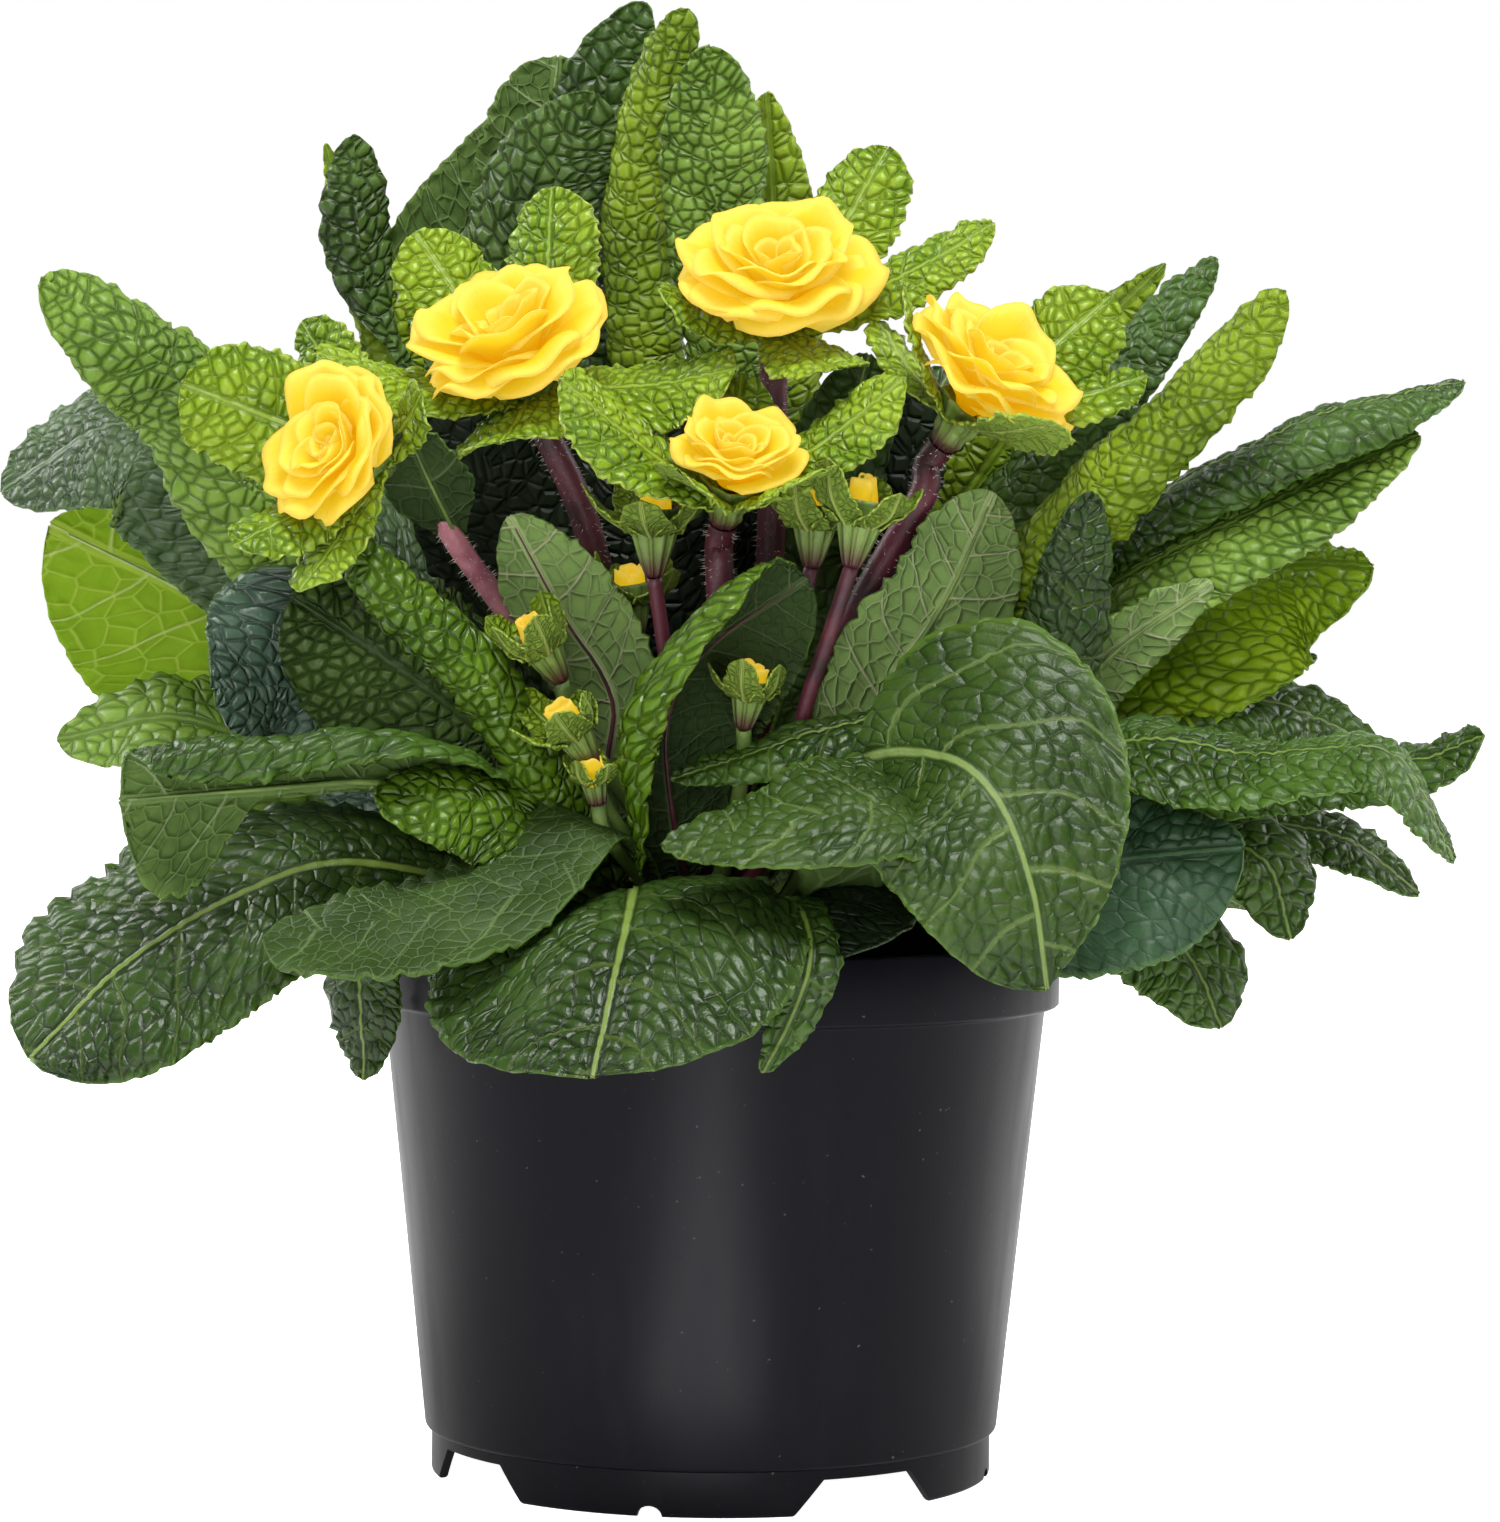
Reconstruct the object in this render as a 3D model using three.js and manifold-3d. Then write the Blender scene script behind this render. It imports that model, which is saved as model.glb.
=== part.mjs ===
// Potted primrose: a plastic nursery pot, its potting mix, and a rosette of leaves round five double flowers.
// Millimetres, +Z up. The origin is on the floor at the pot's axis, and the front of the plant faces -Y.
import * as THREE from 'three';
import { mergeVertices } from 'three/addons/utils/BufferGeometryUtils.js';
import Module from 'manifold-3d';

const wasm = await Module();
wasm.setup();

// Pot
const rimRadius = 65;
const rimTop = 101;
const rimHeight = 12.5;
const rimWall = 1.7;
const edgeRound = 0.6;
const potSides = 48;
const wallTopRadius = 62.4;
const wallFootRadius = 54;
const wallThickness = 1.2;
const footRadius = 52.8;
const footHeight = 8.6;
const footThickness = 1.8;
const floorBottom = 7;
const floorThickness = 1.2;
const drainHoles = 8;
const drainHoleRadius = 4;
const drainCircleRadius = 40;
const notchAngle = 33.5;
const notchBottomWidth = 29;
const notchTopWidth = 19;
const notchHeight = 6.4;
const archAngle = -11.5;
const archWidth = 4.7;
const archHeight = 2;
const cutDepth = 12;
const cutStart = footRadius - 8;

// Filling and rootstock
const gap = 0.3;
const soilEdgeTop = 91;
const soilMound = 2.5;
const crownCentre = new THREE.Vector3(-3, 0, 97);
const crownSize = new THREE.Vector3(22, 22, 14);

// Leaves
const bladeThickness = 0.9;
const petioleThickness = 1.8;
const petioleHalfWidth = 1.6;
const petioleShare = 0.45;
const curlPower = 1.3;
const sectionSteps = 4;
const plainBlade = {
  fold: 0,
  roll: [30, 30],
  sweep: [0, 0],
  waist: [0, 0],
  widest: 0.6,
  rows: 7,
  cells: 2,
  petiole: petioleHalfWidth,
};
const baseClearance = 0.7;

// Flowers
const stalkRadius = 2.6;
const budStalkRadius = 1.4;
const stalkNeck = 5;
const funnelLength = 10;
const funnelRadius = 6;
const budLobes = 5;

const colours = {
  pot: 0x1b1c20,
  soil: 0x2a1d14,
  crown: 0x6d7f45,
  oldLeaf: 0x1f4a1c,
  leaf: 0x356b1e,
  youngLeaf: 0x5b9a26,
  calyx: 0x74ab2c,
  petal: 0xf8dc4a,
  stalk: 0x5a2430,
};

const group = new THREE.Group();

function add(name, geometry, colour, roughness = 0.6) {
  const look = { color: colour, roughness, metalness: 0, flatShading: true };
  const material = new THREE.MeshStandardMaterial(look);
  const mesh = new THREE.Mesh(geometry, material);
  mesh.name = name;
  group.add(mesh);
}

// Closed geometry to solid and back, for joins and cuts.
function toSolid(geometry) {
  const bare = new THREE.BufferGeometry();
  bare.setAttribute('position', geometry.getAttribute('position'));
  bare.setIndex(geometry.getIndex());
  const merged = mergeVertices(bare, 1e-4);
  return new wasm.Manifold(new wasm.Mesh({
    numProp: 3,
    vertProperties: new Float32Array(merged.getAttribute('position').array),
    triVerts: new Uint32Array(merged.getIndex().array),
  }));
}

function toGeometry(solid) {
  const mesh = solid.getMesh();
  const geometry = new THREE.BufferGeometry();
  geometry.setAttribute('position', new THREE.BufferAttribute(new Float32Array(mesh.vertProperties), 3));
  geometry.setIndex(new THREE.BufferAttribute(new Uint32Array(mesh.triVerts), 1));
  return geometry;
}

// A profile of [radius, height] pairs, turned about the Z axis.
function turned(profile, segments) {
  const points = profile.map(([radius, height]) => new THREE.Vector2(radius, height));
  return new THREE.LatheGeometry(points, segments).rotateX(Math.PI / 2);
}

// Turns a shape made along +Z so that it runs from one point towards another.
function aim(geometry, from, towards) {
  const axis = towards.clone().sub(from).normalize();
  const turn = new THREE.Quaternion().setFromUnitVectors(new THREE.Vector3(0, 0, 1), axis);
  return geometry.applyQuaternion(turn).translate(from.x, from.y, from.z);
}

function vector([x, y, z]) {
  return new THREE.Vector3(x, y, z);
}

// The point on the rootstock that a leaf or stalk grows from, in the direction of its first bend.
function basePoint(first, clearance) {
  const direction = first.clone().sub(crownCentre).normalize();
  const reach = 1 / direction.clone().divide(crownSize).length();
  return crownCentre.clone().addScaledVector(direction, reach + clearance);
}

function curveThrough(points) {
  return new THREE.CatmullRomCurve3(points, false, 'catmullrom', 0.5);
}

// ---- Pot ----

function potWallRadius(height) {
  const rise = (height - footHeight) / (rimTop - rimHeight - footHeight);
  return wallFootRadius + (wallTopRadius - wallFootRadius) * rise;
}

function potShell() {
  const rimBottom = rimTop - rimHeight;
  const floorTop = floorBottom + floorThickness;
  const outside = [
    [footRadius - footThickness, 0],
    [footRadius, 0],
    [footRadius, footHeight - edgeRound],
    [wallFootRadius, footHeight],
    [wallTopRadius, rimBottom - edgeRound],
    [rimRadius - edgeRound, rimBottom],
    [rimRadius, rimBottom + edgeRound],
    [rimRadius, rimTop - edgeRound],
    [rimRadius - edgeRound, rimTop],
  ];
  const inside = [
    [rimRadius - rimWall + edgeRound, rimTop],
    [rimRadius - rimWall, rimTop - edgeRound],
    [rimRadius - rimWall, rimBottom + 2 * rimWall],
    [wallTopRadius - wallThickness, rimBottom - edgeRound],
    [potWallRadius(floorTop) - wallThickness, floorTop],
    [0, floorTop],
  ];
  const under = [
    [0, floorBottom],
    [footRadius - footThickness, floorBottom],
  ];
  return toSolid(turned([...under, ...outside, ...inside], potSides));
}

// A cutter through the foot ring, with its outline drawn in the ring's tangent plane.
function ringCutter(shape, angle) {
  const cutter = new THREE.ExtrudeGeometry(shape, { depth: cutDepth, bevelEnabled: false, curveSegments: 6 });
  cutter.rotateX(Math.PI / 2).translate(0, -cutStart, 0);
  return toSolid(cutter.rotateZ(THREE.MathUtils.degToRad(angle)));
}

function footNotch() {
  const shape = new THREE.Shape();
  shape.moveTo(-notchBottomWidth / 2, -1);
  shape.lineTo(notchBottomWidth / 2, -1);
  shape.lineTo(notchBottomWidth / 2, 0);
  shape.lineTo(notchTopWidth / 2, notchHeight);
  shape.lineTo(-notchTopWidth / 2, notchHeight);
  shape.lineTo(-notchBottomWidth / 2, 0);
  return shape;
}

function footArch() {
  const shape = new THREE.Shape();
  shape.moveTo(-archWidth / 2, -1);
  shape.lineTo(archWidth / 2, -1);
  shape.absellipse(0, 0, archWidth / 2, archHeight, 0, Math.PI, false);
  return shape;
}

let pot = potShell();
for (let quarter = 0; quarter < 4; quarter++) {
  pot = pot.subtract(ringCutter(footNotch(), notchAngle + 90 * quarter));
  pot = pot.subtract(ringCutter(footArch(), archAngle + 90 * quarter));
}
for (let hole = 0; hole < drainHoles; hole++) {
  const angle = (2 * Math.PI * (hole + 0.5)) / drainHoles;
  const cutter = new THREE.CylinderGeometry(drainHoleRadius, drainHoleRadius, 5 * floorThickness, 14);
  cutter.rotateX(Math.PI / 2);
  cutter.translate(drainCircleRadius * Math.cos(angle), drainCircleRadius * Math.sin(angle), floorBottom);
  pot = pot.subtract(toSolid(cutter));
}
add('pot', toGeometry(pot), colours.pot, 0.38);

// ---- Potting mix and rootstock ----

function ellipsoid(size, columns, rows) {
  const ball = new THREE.SphereGeometry(1, columns, rows).rotateX(Math.PI / 2);
  return ball.scale(size.x, size.y, size.z).translate(crownCentre.x, crownCentre.y, crownCentre.z);
}

const soilBottom = floorBottom + floorThickness + gap;
const soilProfile = [
  [0, soilBottom],
  [potWallRadius(soilBottom) - wallThickness - gap, soilBottom],
  [potWallRadius(soilEdgeTop) - wallThickness - 2 * gap, soilEdgeTop - 3],
  [potWallRadius(soilEdgeTop) - wallThickness - 4 * gap, soilEdgeTop],
  [38, soilEdgeTop + soilMound * 0.6],
  [0, soilEdgeTop + soilMound],
];
const crownPocket = toSolid(ellipsoid(crownSize.clone().addScalar(2 * gap), 14, 8));
add('potting_mix', toGeometry(toSolid(turned(soilProfile, 30)).subtract(crownPocket)), colours.soil, 0.95);
add('rootstock', toGeometry(toSolid(ellipsoid(crownSize, 14, 8))), colours.crown, 0.8);

// ---- Leaves ----

// Share of the greatest half width at t, which runs from 0 at the base to 1 at the tip.
function bladeWidth(t, waist, widest) {
  if (t < widest) {
    return THREE.MathUtils.smoothstep(t, waist, widest) ** 0.8;
  }
  const past = (t - widest) / (1 - widest);
  return Math.sqrt(Math.max(0.03, 1 - past ** 2.4));
}

// One side of a blade's cross-section, as steps out from the midrib: how far each point lies out and up, and
// the slope there in radians.
function sectionSide(cells, width, fold, roll) {
  const slopeAt = (reach) => THREE.MathUtils.degToRad(fold - roll * reach ** curlPower);
  const points = [{ out: 0, up: 0, slope: slopeAt(0) }];
  let [out, up] = [0, 0];
  for (let cell = 0; cell < cells; cell++) {
    for (let piece = 0; piece < sectionSteps; piece++) {
      const slope = slopeAt((cell + (piece + 0.5) / sectionSteps) / cells);
      out += (Math.cos(slope) * width) / (sectionSteps * cells);
      up += (Math.sin(slope) * width) / (sectionSteps * cells);
    }
    points.push({ out, up, slope: slopeAt((cell + 1) / cells) });
  }
  return points;
}

// A thin closed blade along a curve. Its halves rise by fold degrees beside the midrib, and their margins
// roll under by roll degrees. sweep draws the margins back towards the base, and the petiole ends at waist.
// half, roll, sweep and waist each hold the left and the right side, seen from above.
function blade(shape) {
  const settings = { ...plainBlade, ...shape };
  const { spine, face, half, fold, roll, sweep, waist, widest, rows, cells, petiole } = settings;
  const curve = curveThrough(spine);
  const faces = face.map(vector);
  const upper = [];
  const lower = [];
  for (let row = 0; row <= rows; row++) {
    const t = row / rows;
    const centre = curve.getPointAt(t);
    const along = curve.getTangentAt(t);
    const normal = faces[0].clone().lerp(faces[faces.length - 1], t);
    normal.addScaledVector(along, -normal.dot(along)).normalize();
    const right = along.clone().cross(normal);
    const stiffening = Math.max(0, 1 - t / petioleShare) ** 2;
    const depth = bladeThickness + (petioleThickness - bladeThickness) * stiffening;
    const shares = waist.map((start) => bladeWidth(t, start, widest));
    const sides = shares.map((share, i) => (
      sectionSide(cells, petiole + (half[i] - petiole) * share, fold * share, roll[i] * share)));
    for (let step = -cells; step <= cells; step++) {
      const i = step < 0 ? 0 : 1;
      const sign = Math.sign(step);
      const { out, up, slope } = sides[i][Math.abs(step)];
      const setBack = sweep[i] * shares[i] * (1 - t) * (step / cells) ** 2;
      const point = centre.clone().addScaledVector(right, sign * out).addScaledVector(normal, up);
      point.addScaledVector(along, -setBack);
      const outward = normal.clone().multiplyScalar(Math.cos(slope));
      outward.addScaledVector(right, -sign * Math.sin(slope)).multiplyScalar(depth / 2);
      upper.push(point.clone().add(outward));
      lower.push(point.clone().sub(outward));
    }
  }
  return stitch(upper, lower, rows, 2 * cells + 1);
}

// Joins an upper and a lower grid of points into one closed surface.
function stitch(upper, lower, rows, columns) {
  const under = upper.length;
  const faces = [];
  const quad = (a, b, c, d) => faces.push(a, b, c, a, c, d);
  const at = (row, column) => row * columns + column;
  for (let row = 0; row < rows; row++) {
    for (let column = 0; column < columns - 1; column++) {
      const [a, b] = [at(row, column), at(row, column + 1)];
      const [c, d] = [at(row + 1, column + 1), at(row + 1, column)];
      quad(a, b, c, d);
      quad(under + d, under + c, under + b, under + a);
    }
    quad(at(row, 0), at(row + 1, 0), under + at(row + 1, 0), under + at(row, 0));
    const last = columns - 1;
    quad(at(row + 1, last), at(row, last), under + at(row, last), under + at(row + 1, last));
  }
  for (let column = 0; column < columns - 1; column++) {
    quad(at(0, column + 1), at(0, column), under + at(0, column), under + at(0, column + 1));
    quad(at(rows, column), at(rows, column + 1), under + at(rows, column + 1), under + at(rows, column));
  }
  const positions = [...upper, ...lower].flatMap((point) => point.toArray());
  const geometry = new THREE.BufferGeometry();
  geometry.setAttribute('position', new THREE.Float32BufferAttribute(positions, 3));
  geometry.setIndex(faces);
  return geometry;
}

const leaves = [
  // Low leaves over the front of the rim
  { name: 'leaf_front_centre', age: 'oldLeaf', spine: [[-14, -38, 112], [-15, -64, 108], [-20, -93, 83]],
    face: [[-0.22, -0.2, 1], [-0.22, -0.7, 0.7]], half: [33, 37], roll: [25, 18], waist: [0.2, 0.3] },
  { name: 'leaf_front_shaded', age: 'oldLeaf', spine: [[6, -32, 105], [18, -52, 105.5], [30, -70, 102]],
    face: [[0, -0.1, 1]], half: [11, 14], roll: [10, 10] },
  { name: 'leaf_front_right', age: 'leaf',
    spine: [[14, -34, 112], [24, -47, 134], [39, -61, 137], [49, -71, 130], [55, -77, 115], [58, -77, 97]],
    face: [[-0.1, -0.7, 0.7], [0.15, -0.9, 0.4]], half: [33, 31], roll: [25, 20], sweep: [0, 22],
    waist: [0.32, 0.1], widest: 0.6 },
  { name: 'leaf_front_left', age: 'oldLeaf', spine: [[-25, -38, 117], [-49, -56, 114], [-79, -58, 105]],
    face: [[0, -0.2, 1]], half: [18, 15], roll: [0, 10], sweep: [14, 0], waist: [0.3, 0.1], widest: 0.55 },
  // Left side, from the pot upwards
  { name: 'leaf_left_low', age: 'oldLeaf',
    spine: [[-42, -20, 111], [-67, -35, 116], [-84, -42, 111], [-105, -48, 99], [-125, -50, 80]],
    face: [[-0.2, -0.7, 0.7], [-0.35, -0.8, 0.5]], half: [23, 27], roll: [30, 25], widest: 0.75 },
  { name: 'leaf_left_turned', age: 'youngLeaf',
    spine: [[-38, -25, 120], [-56, -40, 130], [-83, -48, 129], [-106, -50, 127]], face: [[0, 0.95, -0.1]],
    half: [14, 22], roll: [170, 20], waist: [0, 0.25], widest: 0.85, cells: 3 },
  { name: 'leaf_left_dark', age: 'oldLeaf',
    spine: [[-42, -12, 122], [-64, -18, 138], [-78, -25, 147], [-91, -36, 147]], face: [[-0.3, -0.95, 0.1]],
    half: [17, 18], roll: [30, 30], widest: 0.75 },
  { name: 'leaf_left_small', age: 'leaf', spine: [[-50, -2, 118], [-96, 2, 140], [-125, 2, 137]],
    face: [[-0.1, -0.6, 0.8]], half: [16, 16], roll: [20, 20] },
  { name: 'leaf_left_backlit', age: 'youngLeaf', spine: [[-50, 15, 130], [-92, 25, 160], [-127, 26, 177]],
    face: [[-0.2, 0.85, 0.45]], half: [13, 30], roll: [15, 15], waist: [0.25, 0] },
  { name: 'leaf_left_upper', age: 'leaf',
    spine: [[-48, 16, 146], [-94, 10, 187], [-115, 12, 194], [-138, 14, 183]], face: [[-0.2, -0.55, 0.8]],
    half: [20, 21], roll: [35, 35], waist: [0, 0.25] },
  { name: 'leaf_left_spear', age: 'leaf',
    spine: [[-44, 0, 132], [-71, -8, 163], [-88, -18, 186], [-101, -24, 205], [-124, -25, 222]],
    face: [[-0.35, -0.6, 0.7]], half: [19, 19], fold: -25, roll: [40, 40], widest: 0.7 },
  { name: 'leaf_left_rolled', age: 'youngLeaf',
    spine: [[-28, -36, 129], [-41, -44, 149], [-57, -45, 165], [-68, -41, 175]], face: [[0.3, -0.9, 0.3]],
    half: [14, 14], roll: [120, 120], cells: 3 },
  { name: 'leaf_left_shaded', age: 'oldLeaf', spine: [[-36, -20, 133], [-58, -28, 151], [-78, -27, 164]],
    face: [[-0.2, -0.85, 0.4]], half: [17, 17], roll: [40, 40] },
  // Inner leaves round the flower stalks
  { name: 'leaf_inner_left', age: 'leaf',
    spine: [[-20, -18, 128], [-19, -23, 146], [-28, -26, 161], [-38, -28, 179]], face: [[0.15, 0.9, 0.3]],
    half: [11, 12], roll: [20, 20] },
  { name: 'leaf_inner_centre', age: 'youngLeaf',
    spine: [[-8, -34, 124], [-9, -41, 143], [-1, -45, 156], [16, -45, 168]], face: [[-0.3, 0.9, 0.2]],
    half: [18, 17], roll: [20, 160], cells: 3 },
  { name: 'leaf_inner_right', age: 'leaf',
    spine: [[24, -26, 122], [30, -29, 146], [41, -31, 164], [50, -28, 184]], face: [[-0.2, 0.9, 0.2]],
    half: [12, 12], roll: [30, 30] },
  // Right side, from the pot upwards
  { name: 'leaf_right_round', age: 'oldLeaf', spine: [[40, -34, 112], [70, -48, 118], [94, -52, 121]],
    face: [[-0.1, -0.9, 0.4]], half: [12, 21], roll: [20, 20], waist: [0.4, 0.3], widest: 0.7 },
  { name: 'leaf_right_hanging', age: 'leaf',
    spine: [[45, -20, 109], [70, -26, 111], [86, -28, 101], [93, -30, 87]], face: [[0.2, -0.6, 0.7]],
    half: [14, 14], roll: [20, 20], waist: [0.2, 0.2] },
  { name: 'leaf_right_low', age: 'leaf',
    spine: [[44, -26, 120], [72, -40, 139], [96, -50, 137.5], [119, -58, 138], [131, -58, 119]],
    face: [[0, -0.7, 0.75], [0.5, -0.3, 0.85]], half: [17, 17], roll: [40, 40], waist: [0.2, 0.35] },
  { name: 'leaf_right_far', age: 'leaf',
    spine: [[60, -12, 121], [100, -22, 131], [126, -32, 136], [138.5, -38, 141]], face: [[0, -0.6, 0.8]],
    half: [10, 10], roll: [30, 30], waist: [0.35, 0.35], widest: 0.85 },
  { name: 'leaf_right_backlit', age: 'youngLeaf',
    spine: [[44, 4, 126], [72, -4, 152], [91, -7, 164], [106, -8, 172], [122, -10, 172]],
    face: [[-0.2, -0.7, 0.7]], half: [12, 24], roll: [30, 30] },
  { name: 'leaf_right_middle', age: 'leaf',
    spine: [[38, -4, 134], [60, -14, 158], [80, -20, 172], [103, -22, 184], [128, -24, 196]],
    face: [[-0.3, -0.6, 0.75]], half: [10, 18], roll: [40, 40] },
  { name: 'leaf_right_long', age: 'leaf',
    spine: [[32, -4, 142], [55, -8, 165], [74, -14, 180], [107, -22, 198], [137, -20, 206]],
    face: [[-0.35, -0.35, 0.87]], half: [14, 14], roll: [80, 80], waist: [0.1, 0.1], cells: 3 },
  { name: 'leaf_right_bright', age: 'youngLeaf',
    spine: [[34, -15, 134], [47, -22, 160], [59, -29, 177], [74, -35, 191.5], [102, -35, 221]],
    face: [[-0.35, -0.8, 0.5]], half: [16, 16], roll: [110, 110], waist: [0.1, 0.1], cells: 3 },
  { name: 'leaf_right_upper', age: 'leaf',
    spine: [[19, 2, 140], [50, -6, 182], [70, -9, 204], [79, -10, 215], [92, -10, 229]],
    face: [[-0.3, -0.6, 0.7]], half: [11, 11], roll: [60, 60] },
  // Tall leaves behind the flowers
  { name: 'leaf_tall_left', age: 'oldLeaf',
    spine: [[-28, 20, 136], [-44, 28, 180], [-63, 31, 212], [-70, 30, 228], [-72, 28, 254]],
    face: [[0.1, -0.9, 0.2]], half: [9, 9], fold: -20, roll: [20, 20], widest: 0.8 },
  { name: 'leaf_tall_broad', age: 'leaf',
    spine: [[-24, 26, 134], [-38, 38, 180], [-46, 42, 222], [-40, 43, 248], [-29, 40, 270]],
    face: [[0, 0.9, 0.3]], half: [20, 22], roll: [20, 20], widest: 0.7 },
  { name: 'leaf_tall_rugose', age: 'oldLeaf',
    spine: [[-18, 18, 138], [-29, 23, 180], [-36, 26, 215], [-35, 26, 238], [-25, 24, 262]],
    face: [[0, -1, 0.1]], half: [15, 15], roll: [40, 40], widest: 0.75 },
  { name: 'leaf_tall_rolled', age: 'youngLeaf',
    spine: [[-5, 22, 138], [-12, 17, 185], [-16, 16, 222], [-16, 17, 246], [-12, 18, 265], [-7, 19, 278]],
    face: [[0, -1, 0.15]], half: [12, 12], roll: [130, 130], cells: 3 },
  { name: 'leaf_tall_right', age: 'youngLeaf',
    spine: [[8, 24, 138], [7, 18, 185], [5, 14, 225], [2, 14, 251], [0, 13, 269]], face: [[0, -1, 0.15]],
    half: [13, 13], roll: [40, 40], widest: 0.75 },
  // Back of the rosette
  { name: 'leaf_back_centre', age: 'oldLeaf', spine: [[0, 34, 110], [4, 62, 108], [8, 92, 88]],
    face: [[0, 0.2, 1], [0, 0.7, 0.7]], half: [26, 26], roll: [25, 25] },
  { name: 'leaf_back_left', age: 'oldLeaf', spine: [[-34, 26, 110], [-66, 50, 113], [-96, 72, 92]],
    face: [[-0.3, 0.4, 0.85]], half: [22, 22], roll: [35, 35] },
  { name: 'leaf_back_right', age: 'oldLeaf', spine: [[36, 26, 110], [68, 48, 113], [98, 70, 94]],
    face: [[0.3, 0.4, 0.85]], half: [22, 22], roll: [35, 35] },
  { name: 'leaf_back_left_upper', age: 'leaf', spine: [[-26, 40, 124], [-48, 60, 156], [-66, 82, 176]],
    face: [[0.3, -0.4, 0.85]], half: [18, 18], roll: [40, 40] },
  { name: 'leaf_back_centre_upper', age: 'leaf', spine: [[6, 40, 130], [8, 58, 170], [8, 80, 202]],
    face: [[0, -0.6, 0.7]], half: [18, 18], roll: [40, 40] },
  { name: 'leaf_back_right_upper', age: 'leaf', spine: [[26, 24, 130], [52, 46, 160], [78, 68, 182]],
    face: [[-0.3, -0.4, 0.85]], half: [18, 18], roll: [40, 40] },
];

for (const { name, spine, age, ...shape } of leaves) {
  const points = spine.map(vector);
  add(name, blade({ ...shape, spine: [basePoint(points[0], baseClearance), ...points] }), colours[age]);
}

// ---- Flowers and buds ----

// A round stalk along a curve.
function stalk(points, radius, steps, sides) {
  const section = new THREE.Shape();
  section.absarc(0, 0, radius, 0, 2 * Math.PI);
  const extrudePath = curveThrough(points);
  return new THREE.ExtrudeGeometry(section, { steps, curveSegments: sides / 2, bevelEnabled: false, extrudePath });
}

// The funnel under a flower, from the stalk's end towards the flower, with its leafy lobes joined to it.
function leafyCalyx(from, towards, lobes) {
  const [length, radius] = [funnelLength, funnelRadius];
  const profile = [
    [0, 0],
    [stalkRadius, 0],
    [stalkRadius + 0.25 * (radius - stalkRadius), 0.35 * length],
    [radius, 0.9 * length],
    [0.9 * radius, length],
    [0, 0.95 * length],
  ];
  let solid = toSolid(aim(turned(profile, 10), from, towards));
  const axis = towards.clone().sub(from).normalize();
  for (const { tip, half } of lobes) {
    const end = vector(tip);
    const outward = end.clone().sub(from);
    outward.addScaledVector(axis, -outward.dot(axis)).normalize();
    const root = from.clone().addScaledVector(axis, 0.6 * length).addScaledVector(outward, 0.35 * radius);
    const bend = root.clone().lerp(end, 0.5).addScaledVector(axis, -0.04 * end.distanceTo(root));
    const shape = { spine: [root, bend, end], face: [axis.toArray()], half: [half, half], rows: 4, cells: 1 };
    solid = solid.add(toSolid(blade({ ...shape, waist: [-0.25, -0.25], petiole: 0.4 * radius })));
  }
  return solid;
}

// The closed rosette of petals above the funnel.
function corolla(from, towards, radius) {
  const height = from.distanceTo(towards);
  const start = funnelLength + gap;
  const profile = [
    [0, start],
    [0.55 * funnelRadius, start],
    [0.62 * radius, height - 5],
    [radius, height + 1.5],
    [0.96 * radius, height + 3],
    [0.5 * radius, height + 4.5],
    [0, height + 5.5],
  ];
  return aim(turned(profile, 16), from, towards);
}

const flowers = [
  { name: 'flower_left', centre: [-71, -48, 192], radius: 13.5,
    stalk: [[-22, -6, 132], [-37, -14, 158], [-48, -25, 174], [-58, -34, 187.4]],
    lobes: [{ tip: [-97, -38, 202], half: 12 }, { tip: [-78, -14, 215], half: 7 },
      { tip: [-86, -50, 173], half: 9 }, { tip: [-74, -54, 165], half: 7 },
      { tip: [-62, -62, 199], half: 6 }] },
  { name: 'flower_upper_left', centre: [-39, -30, 213], radius: 18.5,
    stalk: [[-9, 4, 128], [-17, -4, 150], [-24, -12, 179], [-31, -16, 199]],
    lobes: [{ tip: [-73, -38, 208], half: 11 }, { tip: [-57, -12, 232], half: 9 },
      { tip: [-32, -8, 241], half: 9 }, { tip: [2, -34, 207], half: 11 },
      { tip: [-39, -44, 192], half: 10 }] },
  { name: 'flower_top', centre: [12, -25, 226.5], radius: 19,
    stalk: [[6, 8, 130], [9, 0, 160], [10, -8, 190], [10, -12, 210]],
    lobes: [{ tip: [31, 0, 250], half: 9 }, { tip: [50, -20, 234], half: 7 },
      { tip: [21, -42, 206], half: 8 }, { tip: [-11, -26, 221], half: 7 },
      { tip: [-2, 2, 230], half: 7 }] },
  { name: 'flower_right', centre: [51, -40, 208], radius: 16.5,
    stalk: [[12, -12, 124], [21, -25, 149], [27, -29, 165], [36, -30, 181], [39, -30, 190]],
    lobes: [{ tip: [34, -42, 218], half: 7 }, { tip: [61, -58, 193], half: 7 },
      { tip: [71, -20, 218], half: 9 }, { tip: [76, -26, 204], half: 7 },
      { tip: [28, -20, 213], half: 7 }] },
  { name: 'flower_centre', centre: [4, -48, 192.5], radius: 12,
    stalk: [[1, -10, 130], [1, -26, 150], [0.5, -36, 167], [1, -38, 177.7]],
    lobes: [{ tip: [-28, -51, 203], half: 11 }, { tip: [-7, -61, 187], half: 6 },
      { tip: [19, -61, 187], half: 6 }, { tip: [32, -48, 204], half: 8 },
      { tip: [4, -22, 206], half: 7 }] },
];

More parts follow.
